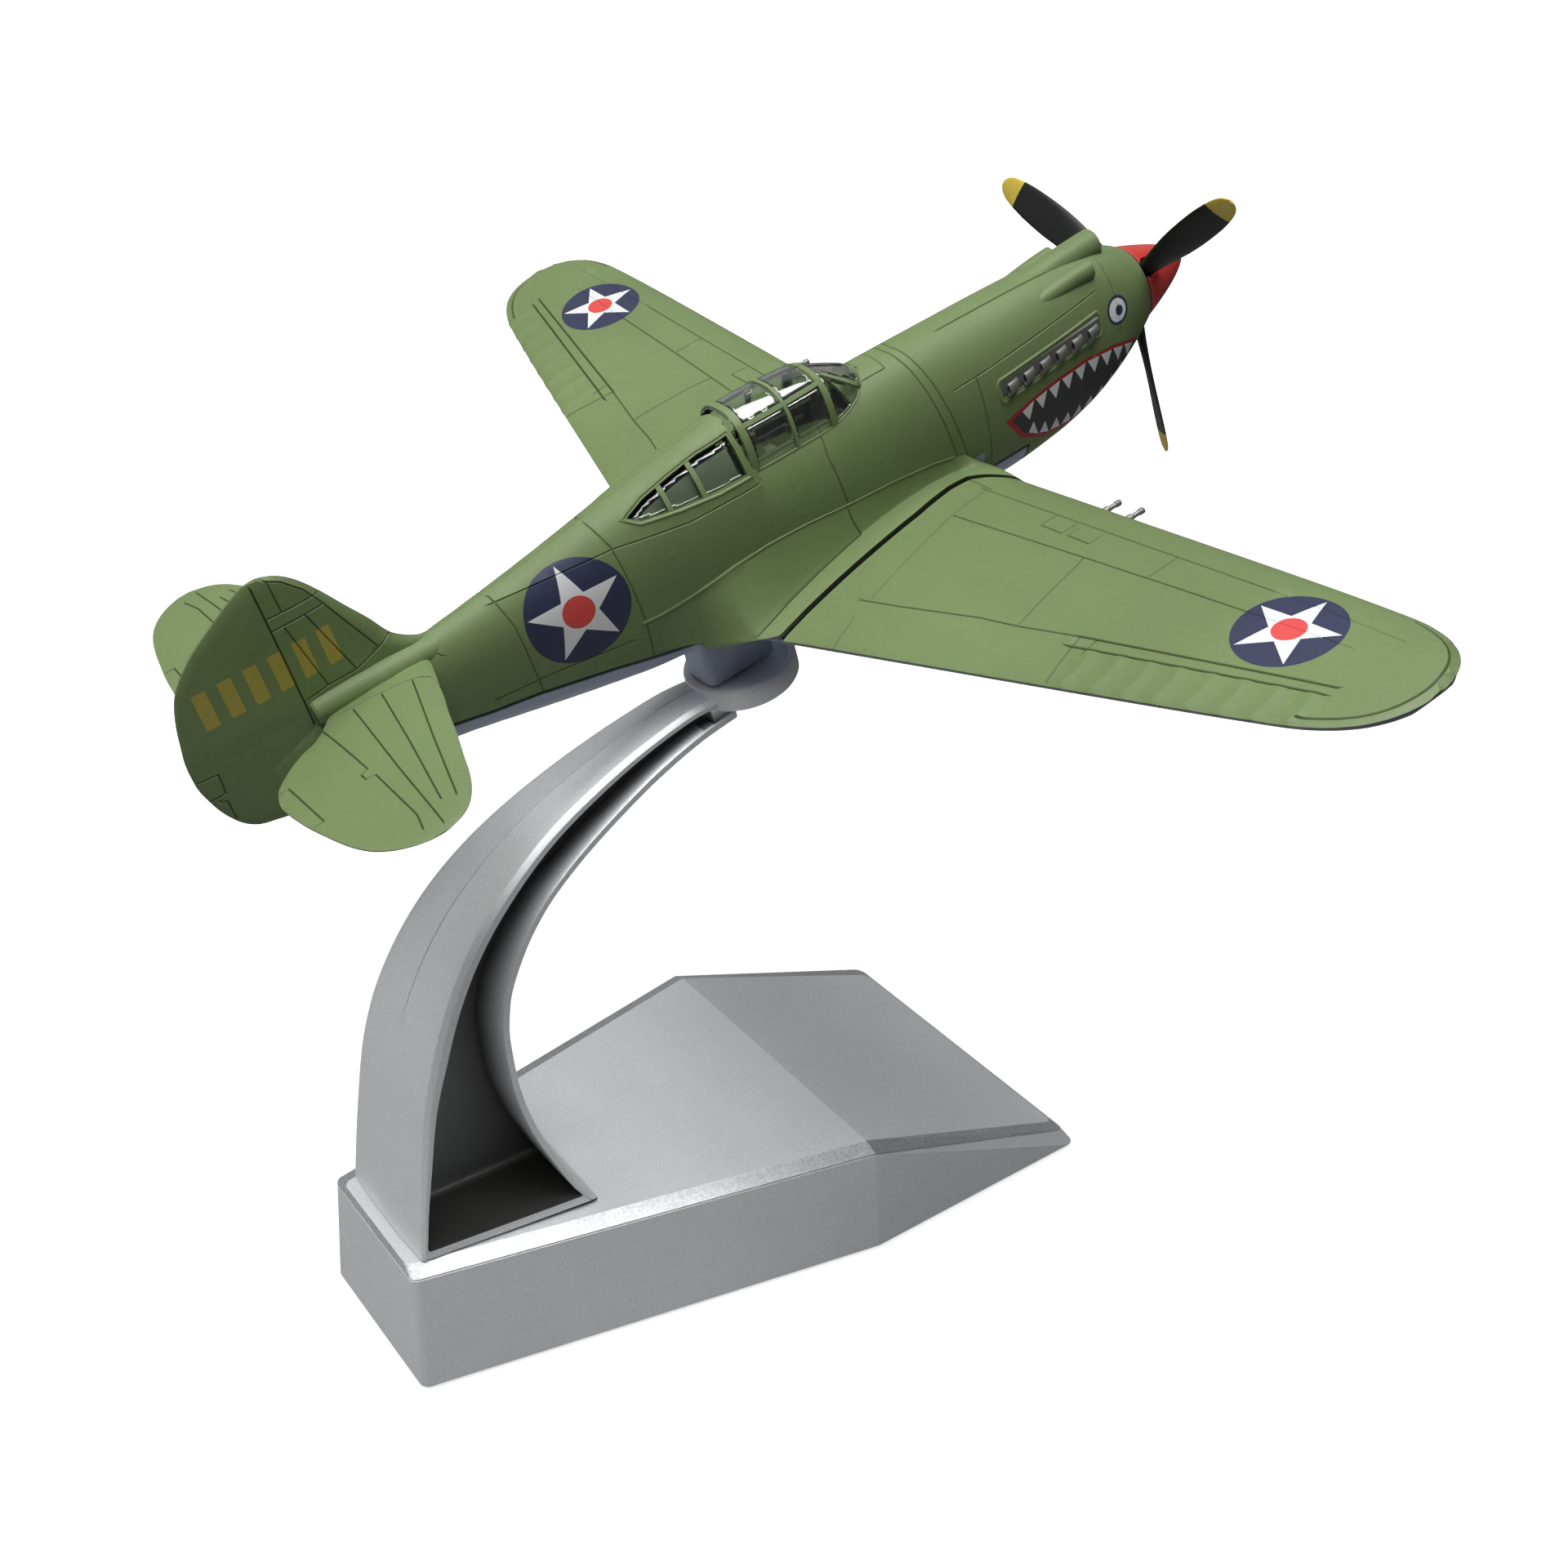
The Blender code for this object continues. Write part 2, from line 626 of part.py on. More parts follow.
def make_quarter_windows(parent, look, body):
    """Clear panes let into the body behind the hood. The body gets the matching pockets."""
    outline = [
        (62.0, 6.9), (62.0, 10.6), (66.0, 10.3), (71.0, 9.6), (75.4, 8.6), (76.2, 8.0), (74.4, 7.5), (68.0, 7.0),
    ]
    middle_y = sum(y for y, z in outline) / len(outline)
    middle_z = sum(z for y, z in outline) / len(outline)
    grown = [(y + math.copysign(GAP, y - middle_y), z + math.copysign(GAP, z - middle_z)) for y, z in outline]
    for side, name in ((1, "quarter_window_left"), (-1, "quarter_window_right")):
        pane = solid(name, *loft([section(y) for y in (61.2, 64.5, 68.0, 72.0, 76.0, 80.0)]))
        pane = keep(pane, prism(outline, side * 1.2, side * 9.0, "x"))
        pane = cut(pane, loft([section(y, 0.9) for y in (60.0, 61.2, 64.5, 68.0, 72.0, 76.0, 80.0, 84.0)]))
        finish(pane, parent, look)
        pocket = solid("pocket", *loft([section(y, -1.0) for y in (60.9, 61.3, 64.5, 68.0, 72.0, 76.0, 80.0)]))
        pocket = keep(pocket, prism(grown, side * 1.2, side * 9.0, "x"))
        pocket = cut(pocket, loft([section(y, 0.9 + GAP) for y in (59.0, 61.3, 64.5, 68.0, 72.0, 76.0, 80.0, 84.0)]))
        combine(body, pocket, "DIFFERENCE")


def make_cockpit(parent, looks):
    """Tub, seat, instrument panel, stick and gunsight."""
    half = COCKPIT_HALF - GAP
    front, rear = COCKPIT_FRONT + GAP, COCKPIT_REAR - GAP
    floor = COCKPIT_FLOOR + GAP
    tub = solid("cockpit_tub", *box((-half, front, floor), (half, rear, 6.4)))
    tub = cut(tub, box((-half + 0.5, front + 0.5, floor + 0.6), (half - 0.5, rear - 0.5, 9.0)))
    finish(tub, parent, looks["interior"])
    deck = floor + 0.6 + GAP
    seat_outline = [
        (54.2, deck), (57.6, deck), (58.6, 8.6), (57.9, 8.8), (56.9, deck + 1.6), (54.4, deck + 1.3),
    ]
    finish(solid("pilot_seat", *prism(seat_outline, -1.7, 1.7, "x")), parent, looks["interior"])
    panel = [(-2.2, deck), (2.2, deck), (2.3, 6.2), (1.5, 7.6), (-1.5, 7.6), (-2.3, 6.2)]
    finish(solid("instrument_panel", *prism(panel, 47.4, 47.9, "y")), parent, looks["dark"])
    rings = []
    for height, lean, size in ((deck, 51.6, 0.3), (5.6, 51.9, 0.25), (5.9, 52.0, 0.45), (6.8, 51.9, 0.4)):
        rings.append([(size * math.cos(math.tau * n / 8), lean + size * math.sin(math.tau * n / 8), height) for n in range(8)])
    finish(solid("control_stick", *loft(rings)), parent, looks["dark"])
    sight = [(47.5, 7.9), (48.4, 7.9), (48.6, 9.4), (48.3, 9.5), (47.9, 8.7), (47.5, 8.6)]
    finish(solid("gunsight", *prism(sight, -0.45, 0.45, "x")), parent, looks["dark"])


def make_exhausts(parent, look):
    """Six ejector stubs on a strip, one strip each side of the cowling."""
    stubs = 6
    start, end = 11.3, 27.1
    pitch = (end - start) / stubs
    for side, name in ((1, "exhaust_left"), (-1, "exhaust_right")):
        outline = [(start, 5.7)]
        for stub in range(stubs):
            low = start + pitch * stub
            outline.append((low, 6.5))
            outline.append((low + pitch * 0.82, 7.5))
            outline.append((low + pitch * 0.9, 6.6))
        outline.append((end, 6.5))
        outline.append((end, 5.7))
        points, faces = prism([(side * x, y) for y, x in outline], -0.75, 0.75)
        fall = 1.0 / (27.4 - 11.0)
        points = [(x, y, z + 1.2 - (y - 11.0) * fall) for x, y, z in points]
        finish(solid(name, points, faces), parent, look)


def make_guns(parent, look):
    """Two machine-gun barrels at each wing's leading edge."""
    for side, word in ((1, "left"), (-1, "right")):
        for x, place in ((27.6, "inner"), (31.4, "outer")):
            root = leading(x) - GAP
            height = split_height(x, root) + 0.35
            profile = [(0.22, root - 2.7), (0.36, root - 2.6), (0.36, root - 1.9), (0.26, root - 1.8), (0.3, root)]
            gun = solid(f"wing_gun_{word}_{place}", *turned(profile, 8, (side * x, height)))
            finish(gun, parent, look)


def blade(angle):
    """One twisted blade along its own radius, root inside the hub."""
    radial = Vector((math.cos(angle), 0.0, math.sin(angle)))
    ahead = Vector((-math.sin(angle), 0.0, math.cos(angle)))
    forward = Vector((0.0, -1.0, 0.0))
    rows = (
        (1.6, 1.7, 1.5, 60.0), (4.4, 1.8, 1.4, 56.0), (6.2, 2.3, 1.2, 50.0), (8.6, 3.2, 1.0, 44.0),
        (11.5, 3.9, 0.85, 39.0), (14.5, 4.1, 0.75, 35.0), (17.5, 3.9, 0.65, 31.0), (20.0, 3.4, 0.55, 28.0),
        (21.8, 2.6, 0.5, 26.0), (22.8, 1.7, 0.4, 25.0), (BLADE_RADIUS, 0.6, 0.3, 24.5),
    )
    rings = []
    for radius, chord, thick, turn in rows:
        lean = math.radians(turn)
        along_chord = ahead * math.cos(lean) + forward * math.sin(lean)
        across = radial.cross(along_chord)
        ring = []
        for part, share in ((0.5, 0.15), (0.32, 0.8), (0.05, 1.0), (-0.28, 0.7), (-0.5, 0.15)):
            ring.append(radial * radius + along_chord * chord * part + across * thick * 0.5 * share)
        for part, share in ((-0.5, 0.15), (-0.28, 0.7), (0.05, 1.0), (0.32, 0.8), (0.5, 0.15)):
            ring.append(radial * radius + along_chord * chord * part - across * thick * 0.5 * share)
        rings.append([tuple(point) for point in ring])
    return loft(rings)


def spinner_radius(y):
    """Radius of the spinner's pointed dome at y."""
    part = (y - SPINNER_TIP) / (SPINNER_REAR - SPINNER_TIP)
    return SPINNER_BASE * min(max(part, 0.0), 1.0) ** 0.62


def make_propeller(parent, looks):
    """Everything that turns: spinner, back plate, blades, shaft and its collar."""
    depths = (-8.8, -8.6, -8.1, -7.2, -5.8, -4.0, -2.0, -0.4, SPINNER_REAR)
    profile = [(max(spinner_radius(y), 0.25), y) for y in depths]
    spinner = solid("spinner", *turned(profile, 28))
    spinner = cut(spinner, turned([(HUB_RADIUS + GAP, -2.2), (HUB_RADIUS + GAP, 2.0)], 20))
    for angle in BLADE_ANGLES:
        turn = math.radians(angle)
        slot = [(0.0, -1.5 - GAP), (0.0, 3.0), (7.0, 3.0), (7.0, -1.5 - GAP)]
        points, faces = loft(
            [[(r, y, -1.15 - GAP) for r, y in slot], [(r, y, 1.15 + GAP) for r, y in slot]]
        )
        rotate = Matrix.Rotation(-turn, 3, "Y")
        spinner = cut(spinner, ([tuple(rotate @ Vector(point)) for point in points], faces))
    finish(spinner, parent, looks["red"])
    plate = solid("spinner_back_plate", *turned([(5.0, SPINNER_REAR + GAP), (5.0, 1.9)], 28))
    plate = cut(plate, turned([(SHAFT_RADIUS + GAP, 0.0), (SHAFT_RADIUS + GAP, 3.0)], 12))
    finish(plate, parent, looks["red"])
    blades = solid("propeller_blades", *turned([(HUB_RADIUS, -1.6), (HUB_RADIUS, SPINNER_REAR)], 20))
    for angle in BLADE_ANGLES:
        blades = join(blades, blade(math.radians(angle)))
    blades = cut(blades, turned([(SHAFT_RADIUS + GAP, -1.0), (SHAFT_RADIUS + GAP, 3.0)], 12))
    finish(blades, parent, looks["black"])
    shaft = turned([(SHAFT_RADIUS, -0.6), (SHAFT_RADIUS, 13.2)], 12)
    finish(solid("propeller_shaft", *shaft), parent, looks["steel"])
    collar = solid("shaft_collar", *turned([(1.7, 11.0), (1.7, 12.6)], 16))
    collar = cut(collar, turned([(SHAFT_RADIUS + GAP, 10.0), (SHAFT_RADIUS + GAP, 14.0)], 12))
    finish(collar, parent, looks["steel"])


def make_bush(parent, look):
    bush = solid("shaft_bush", *turned([(1.9, 2.8), (1.9, 9.4)], 16))
    bush = cut(bush, turned([(SHAFT_RADIUS + GAP, 2.0), (SHAFT_RADIUS + GAP, 10.0)], 12))
    finish(bush, parent, look)


def screw(name, x, y, head_low, length, parent, look):
    """Pan-head screw pointing up, head at the bottom."""
    profile = [
        (0.9, head_low), (1.6, head_low + 0.35), (1.6, head_low + 1.0), (0.8, head_low + 1.0),
        (0.8, head_low + length),
    ]
    made = solid(name, *turned(profile, 12, (x, y), "z"))
    finish(made, parent, look)


def base_outline(grow):
    """Plan of the base, widest at the ridge, moved out by grow."""
    corner = 2.2
    rear, front = BASE_REAR + grow, BASE_FRONT - grow
    points = [
        (REAR_HALF + grow - corner, rear), (REAR_HALF + grow - 0.3, rear - corner * 0.35),
        (REAR_HALF + grow + 0.35, rear - corner), (RIDGE_HALF + grow, RIDGE_Y),
        (FRONT_HALF + grow, front + corner), (FRONT_HALF + grow - corner * 0.35, front + 0.6),
        (FRONT_HALF + grow - corner, front),
    ]
    return points + [(-x, y) for x, y in reversed(points)]


def top_height(y, drop=0.0):
    """Height of the base's top: level behind the ridge, falling to the thin front edge."""
    if y >= RIDGE_Y:
        part = (y - RIDGE_Y) / (BASE_REAR - RIDGE_Y)
        return RIDGE_HEIGHT + (REAR_HEIGHT - RIDGE_HEIGHT) * min(part, 1.0) - drop
    part = (RIDGE_Y - y) / (RIDGE_Y - BASE_FRONT)
    return RIDGE_HEIGHT + (FRONT_HEIGHT - RIDGE_HEIGHT) * min(part, 1.0) - drop


def make_base(looks):
    """Wedge-shaped casting, hollow below, with its pad."""
    rings = [[(x, y, BASE_LIFT) for x, y in base_outline(0.0)]]
    wall = []
    for x, y in base_outline(-BASE_DRAFT):
        drop = BASE_CHAMFER * min(1.0, (top_height(y) - 1.0) / 6.0)
        wall.append((x, y, top_height(y) - drop))
    rings.append(wall)
    rings.append([(x, y, top_height(y)) for x, y in base_outline(-BASE_DRAFT - BASE_CHAMFER)])
    points, faces = loft(rings)
    count = len(rings[0])
    faces.pop()
    top = list(range(2 * count, 3 * count))
    faces.append(tuple(top[:4] + top[count - 4:]))
    faces.append(tuple(top[3:count - 3]))
    base = solid("base_casting", points, faces, smooth=False)
    hollow_outline = [(x, y) for x, y in base_outline(-BASE_WALL - 1.0)]
    well = solid("well", *prism(hollow_outline, -1.0, 20.0))
    profile = [(-35.0, -2.0), (-35.0, 3.0), (RIDGE_Y, RIDGE_HEIGHT - 2.6), (42.0, REAR_HEIGHT - 2.9), (42.0, -2.0)]
    well = keep(well, prism(profile, -30.0, 30.0, "x"))
    base = combine(base, well, "DIFFERENCE")
    base = cut(base, prism(base_outline(-1.2), -1.0, 1.1))
    for x, y in SCREW_SPOTS:
        base = cut(base, turned([(0.8 + GAP, 5.0), (0.8 + GAP, 20.0)], 10, (x, y), "z"))
    base.data.materials.clear()
    finish(base, None, looks["silver"])
    base.data.set_sharp_from_angle(angle=math.radians(12))
    pad = solid("base_pad", *prism(base_outline(-1.2 - GAP), 0.0, 0.8))
    finish(pad, None, looks["pad"])


def arm_rings(inset_rear, inset_front, inner, outer_side, rows):
    """Rings across the arm; inner and outer_side are the x limits as functions of the row's half widths."""
    rings = []
    for (rear_y, rear_z), (front_y, front_z), half_rear, half_front in rows:
        rear, front = Vector((rear_y, rear_z)), Vector((front_y, front_z))
        across = (front - rear).normalized()
        back = rear + across * inset_rear
        fore = front - across * inset_front
        ring = [
            (outer_side(half_rear), back.x, back.y), (outer_side(half_front), fore.x, fore.y),
            (inner(half_front), fore.x, fore.y), (inner(half_rear), back.x, back.y),
        ]
        rings.append(ring)
    return rings


def make_arm(looks):
    """Curved I-section arm with a foot plate below and a round cradle plate above, one casting."""
    rings = arm_rings(0.0, 0.0, lambda half: -half, lambda half: half, ARM_ROWS)
    arm = solid("stand_arm", *loft(rings), smooth=False)
    pocket_rows = list(ARM_ROWS[:-2])
    (rear, front, half_rear, half_front) = pocket_rows[0]
    floor = REAR_HEIGHT + GAP + FOOT_THICKNESS
    pocket_rows[0] = ((rear[0] - 0.1, floor), (front[0] + 1.3, floor), half_rear, half_front)
    for side in (-1, 1):
        rings = arm_rings(
            FLANGE_REAR, FLANGE_FRONT, lambda half: side * WEB_HALF, lambda half: side * (half + 2.0), pocket_rows
        )
        arm = cut(arm, loft(rings))
    tilt = Matrix.Rotation(math.radians(-PITCH), 3, "X")
    hub = Vector((0.0, HUB_Y, HUB_Z))
    disc_points, disc_faces = turned(
        [(DISC_RADIUS - 2.2, DISC_Z - DISC_THICKNESS - 0.6), (DISC_RADIUS - 0.3, DISC_Z - DISC_THICKNESS + 0.2),
         (DISC_RADIUS, DISC_Z - 0.5), (DISC_RADIUS - 0.3, DISC_Z)],
        28, (0.0, DISC_Y), "z",
    )
    disc_points = [tuple(tilt @ Vector(point) + hub) for point in disc_points]
    arm = join(arm, (disc_points, disc_faces))
    boss_points, boss_faces = box((-2.6, DISC_Y - 4.6, DISC_Z - 4.2), (2.6, DISC_Y + 3.0, DISC_Z - 1.2))
    boss_points = [tuple(tilt @ Vector(point) + hub) for point in boss_points]
    arm = join(arm, (boss_points, boss_faces))
    hole_points, hole_faces = turned(
        [(PEG_RADIUS + GAP, DISC_Z - 2.9), (PEG_RADIUS + GAP, DISC_Z + 2.0)], 16, (0.0, DISC_Y), "z"
    )
    hole_points = [tuple(tilt @ Vector(point) + hub) for point in hole_points]
    arm = cut(arm, (hole_points, hole_faces))
    for x, y in SCREW_SPOTS:
        arm = cut(arm, turned([(0.8 + GAP, 10.0), (0.8 + GAP, 17.2)], 10, (x, y), "z"))
    finish(arm, None, looks["silver"])


def make_peg(parent, look):
    """Steel pin fixed in the cradle plate, standing up into the aircraft's belly block."""
    top = DISC_Z + PEG_HEIGHT
    profile = [(PEG_RADIUS, DISC_Z - 2.5), (PEG_RADIUS, top - 0.5), (PEG_RADIUS - 0.4, top)]
    finish(solid("cradle_peg", *turned(profile, 16, (0.0, DISC_Y), "z")), parent, look)


def build():
    clear_scene()
    looks = {
        "green": material("green_paint", (0.16, 0.22, 0.095), 0.5),
        "grey": material("belly_grey_paint", (0.33, 0.36, 0.44), 0.5),
        "clear": material("clear_plastic", (0.75, 0.8, 0.78), 0.1),
        "interior": material("cockpit_black", (0.03, 0.035, 0.03), 0.6),
        "dark": material("dark_plastic", (0.02, 0.02, 0.022), 0.5),
        "gun_metal": material("gun_metal", (0.09, 0.09, 0.09), 0.4, 0.8),
        "red": material("spinner_red", (0.62, 0.05, 0.04), 0.4),
        "black": material("blade_black", (0.012, 0.012, 0.014), 0.45),
        "steel": material("steel", (0.5, 0.5, 0.5), 0.3, 1.0),
        "brass": material("brass", (0.6, 0.42, 0.16), 0.35, 1.0),
        "silver": material("silver_paint", (0.42, 0.43, 0.44), 0.42, 0.6),
        "pad": material("pad_black", (0.02, 0.02, 0.02), 0.8),
    }
    plane = empty("aircraft_frame", (0.0, HUB_Y, HUB_Z), (-PITCH, 0.0, 0.0))
    spin = empty("propeller_axis", (0.0, 0.0, 0.0), (0.0, 0.0, 0.0), plane)
    cradle = empty("cradle_frame", (0.0, HUB_Y, HUB_Z), (-PITCH, 0.0, 0.0))
    make_base(looks)
    make_arm(looks)
    make_peg(cradle, looks["steel"])
    for number, (x, y) in enumerate(SCREW_SPOTS, 1):
        screw(f"arm_screw_{number}", x, y, 10.6, 6.0, None, looks["steel"])
    body = make_fuselage(plane, looks["green"])
    body.parent = None
    make_quarter_windows(plane, looks["clear"], body)
    finish(body, plane, looks["green"])
    make_lower_fuselage(plane, looks["grey"])
    make_underside(plane, looks["grey"])
    make_wings(plane, looks["green"])
    make_tailplanes(plane, looks["green"])
    make_canopy(plane, looks["clear"])
    make_cockpit(plane, looks)
    make_exhausts(plane, looks["gun_metal"])
    make_guns(plane, looks["gun_metal"])
    for number, y in enumerate(BELLY_SCREWS, 1):
        screw(f"belly_screw_{number}", 0.0, y, -12.9, 9.0, plane, looks["steel"])
    make_bush(plane, looks["brass"])
    make_propeller(spin, looks)


build()
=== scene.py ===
"""Looks of the desk model of a propeller fighter on its cast stand.

Skins are drawn flat first: an outline in two coordinates, with panel seams and paint marks laid in as
mesh edges, is cut into triangles and then bent onto the aircraft's shape. Lengths here are millimetres
in the aircraft's own frame (origin on the thrust line in the blades' plane, X along the span, Y aft,
Z up) or, for the stand, in the row's frame. Meshes are turned into metres in the row's frame at the end.
"""
import math

import bmesh
import bpy
import numpy as np
from mathutils import Matrix, Vector
from mathutils.geometry import delaunay_2d_cdt
from mathutils.kdtree import KDTree


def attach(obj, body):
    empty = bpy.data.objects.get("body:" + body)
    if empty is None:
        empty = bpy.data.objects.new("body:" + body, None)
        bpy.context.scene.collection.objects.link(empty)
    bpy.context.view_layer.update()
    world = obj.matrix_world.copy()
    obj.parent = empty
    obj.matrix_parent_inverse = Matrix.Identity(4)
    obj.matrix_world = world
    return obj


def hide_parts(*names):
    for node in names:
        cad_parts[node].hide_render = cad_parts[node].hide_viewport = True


PITCH = math.radians(15.4)
HUB = np.array([0.0, -67.2, 112.2])

# The top of the fuselage steps up between the end of the hood's opening and the start of the spine
NOSE_Y, HOOD_END, SPINE_START, TAIL_POST_Y = 1.3, 60.6, 61.2, 121.0
# Fuselage stations: y, half width, top, bottom, height of the widest point
STATIONS = (
    (NOSE_Y, 4.95, 5.25, -5.1, 0.0), (2.6, 5.35, 6.0, -6.1, -0.3), (4.5, 5.7, 6.8, -7.5, -0.7),
    (7.5, 6.1, 7.7, -9.3, -1.4), (12.0, 6.5, 8.3, -11.2, -2.2), (18.0, 6.8, 8.7, -12.5, -2.6),
    (26.0, 6.9, 8.9, -13.2, -2.6), (34.0, 6.9, 9.0, -13.2, -2.2), (44.0, 6.8, 9.1, -12.8, -1.6),
    (53.0, 6.6, 9.0, -12.8, -1.0), (HOOD_END, 6.4, 9.0, -12.8, -0.4), (SPINE_START, 6.4, 12.3, -12.8, -0.4),
    (68.0, 6.0, 11.3, -12.8, 0.0), (76.0, 5.4, 9.9, -12.2, 0.2), (84.0, 4.6, 8.5, -10.7, 0.4),
    (92.0, 3.7, 7.3, -8.9, 0.6), (100.0, 2.9, 6.3, -7.0, 0.9), (108.0, 2.1, 5.4, -5.5, 1.2),
    (115.0, 1.3, 4.4, -4.6, 1.2), (TAIL_POST_Y, 0.7, 3.0, -3.6, 0.8),
)

# Wing
SEMI_SPAN = 79.9
TIP_START = 62.0
# x, leading edge y, trailing edge y
WING_ROWS = (
    (0.0, 30.7, 70.4), (30.0, 31.5, 62.45), (60.0, 32.35, 54.5), (67.5, 32.7, 52.4), (71.8, 33.0, 51.1),
    (74.4, 33.6, 49.9), (76.8, 34.7, 48.2), (78.3, 36.1, 46.4), (79.2, 37.7, 44.6), (79.7, 39.5, 42.8),
    (SEMI_SPAN, 41.0, 41.4),
)
WING_Z = -10.6
DIHEDRAL_SLOPE = 0.125
INCIDENCE_SLOPE, INCIDENCE_MIDDLE = -0.024, 50.0
ROOT_THICKNESS, THICKNESS_TAPER = 5.6, 0.05
EDGE_HALF = 0.25
GAP = 0.3

# Root fillet: y, outer x at its seam with the wing, x of the foot of its wall, height of its upper crease
FILLET_ROWS = (
    (31.0, 13.2, 11.6, -7.6), (32.4, 11.6, 9.6, -6.4), (34.2, 9.7, 8.0, -4.6), (35.8, 8.7, 7.3, -4.0),
    (38.8, 8.8, 7.1, -3.3), (44.8, 9.9, 7.2, -2.6), (50.4, 10.4, 7.5, -2.3), (56.5, 10.9, 8.2, -1.7),
    (62.4, 11.5, 9.0, -1.4), (67.1, 12.2, 9.9, -1.8), (68.7, 10.4, 10.2, -2.1), (72.9, 5.8, 5.75, -2.7),
    (76.6, 4.7, 4.65, -3.0), (80.5, 3.4, 3.35, -2.9),
)
FILLET_CORNER, FILLET_NOTCH, FILLET_REAR = 67.1, 72.9, 80.5

# Fin and rudder: (height, leading edge y, trailing edge y, half thickness)
FIN_ROWS = (
    (-4.5, 119.0, 122.0, 0.35), (-3.6, 117.0, 124.7, 0.5), (-2.0, 114.0, 126.3, 0.65),
    (1.0, 110.0, 127.7, 0.8), (4.4, 104.0, 128.4, 0.9), (5.6, 99.6, 128.4, 0.95), (6.6, 101.4, 128.35, 1.0),
    (7.4, 102.8, 128.25, 1.0), (8.6, 104.2, 128.0, 0.95), (11.2, 105.7, 127.4, 0.9),
    (14.0, 107.5, 126.3, 0.82), (17.0, 109.4, 123.4, 0.72), (19.2, 111.1, 119.8, 0.6),
    (20.6, 112.8, 117.2, 0.45), (21.1, 114.0, 116.0, 0.3),
)
# Tailplane: (x, leading edge y, trailing edge y)
TAIL_ROWS = (
    (1.35, 101.8, 113.6), (2.9, 102.2, 114.8), (4.9, 102.8, 116.8), (5.9, 103.1, 118.9), (7.7, 103.7, 121.3),
    (10.1, 104.4, 123.3), (13.0, 105.4, 124.1), (17.0, 106.6, 123.8), (21.5, 108.1, 123.0),
    (24.8, 109.2, 122.2), (27.2, 110.3, 121.2), (29.0, 111.5, 119.8), (30.2, 112.9, 118.2),
    (30.9, 114.6, 116.6),
)
TAIL_Z, TAIL_SLOPE = 4.3, 0.08
# Rounded fairing beside the fin's foot: y, half width, bottom, top
TAIL_FAIRING = (
    (96.0, 1.5, 3.0, 5.8), (98.5, 1.7, 3.0, 6.0), (101.0, 1.95, 3.0, 6.25), (103.5, 2.25, 3.1, 6.6),
    (106.0, 2.4, 3.2, 6.85), (110.0, 2.3, 3.3, 6.95), (113.0, 2.15, 3.4, 6.85), (114.7, 2.05, 3.5, 6.75),
    (115.0, 1.85, 3.7, 6.55),
)

# Canopy: y, half width at the sill, sill height, top height
CANOPY_ROWS = (
    (42.6, 1.0, 8.7, 9.3), (43.6, 2.6, 7.9, 9.8), (45.4, 3.8, 6.9, 10.6), (47.6, 4.35, 6.2, 11.6),
    (50.0, 4.6, 5.8, 12.5), (54.0, 4.65, 5.8, 12.8), (57.0, 4.65, 5.8, 12.9), (61.0, 4.6, 5.8, 12.8),
)
COCKPIT_FRONT, COCKPIT_REAR, COCKPIT_HALF = 46.4, 60.2, 4.2

# Propeller
BLADE_RADIUS = 23.35
BLADE_ANGLES = (21.2, 141.2, 261.2)
BLADE_ROWS = (
    (1.6, 1.7, 1.5, 60.0), (4.4, 2.6, 1.4, 56.0), (6.2, 3.0, 1.2, 50.0), (8.6, 3.6, 1.0, 44.0),
    (11.5, 4.2, 0.85, 39.0), (14.5, 4.4, 0.75, 35.0), (17.5, 4.25, 0.65, 31.0), (20.0, 3.8, 0.55, 28.0),
    (21.8, 3.1, 0.5, 26.0), (22.8, 2.2, 0.4, 25.0), (BLADE_RADIUS, 0.9, 0.3, 24.5),
)
YELLOW_FROM = 20.4
SPINNER_BASE, SPINNER_REAR, SPINNER_TIP = 5.0, 0.9, -8.8

# Arm of the stand, in the row's frame, from the foot up: rear edge (y, z), front edge (y, z), half widths
ARM_ROWS = (
    ((44.2, 16.4), (20.8, 16.4), 9.4, 12.0), ((43.9, 19.0), (23.0, 19.0), 9.3, 11.2),
    ((43.4, 23.5), (25.2, 23.5), 9.1, 10.2), ((42.6, 29.5), (27.6, 29.5), 8.9, 9.0),
    ((41.5, 36.5), (29.1, 36.5), 8.6, 8.4), ((39.7, 43.0), (29.4, 42.0), 8.3, 7.9),
    ((37.0, 49.4), (28.6, 46.4), 7.6, 7.0), ((33.1, 55.6), (26.1, 51.2), 6.8, 6.0),
    ((28.0, 61.0), (22.4, 55.8), 6.0, 5.2), ((21.9, 65.6), (17.3, 59.9), 5.1, 4.5),
    ((15.0, 69.3), (11.4, 63.7), 4.4, 4.0), ((7.6, 72.4), (5.1, 67.2), 3.8, 3.6),
    ((0.6, 74.6), (-1.2, 69.9), 3.4, 3.3), ((-4.6, 75.4), (-5.6, 71.2), 3.1, 3.1),
)
DISC_Y, DISC_Z, DISC_RADIUS = 66.5, -18.0, 6.8


# ---------------------------------------------------------------- numbers and curves

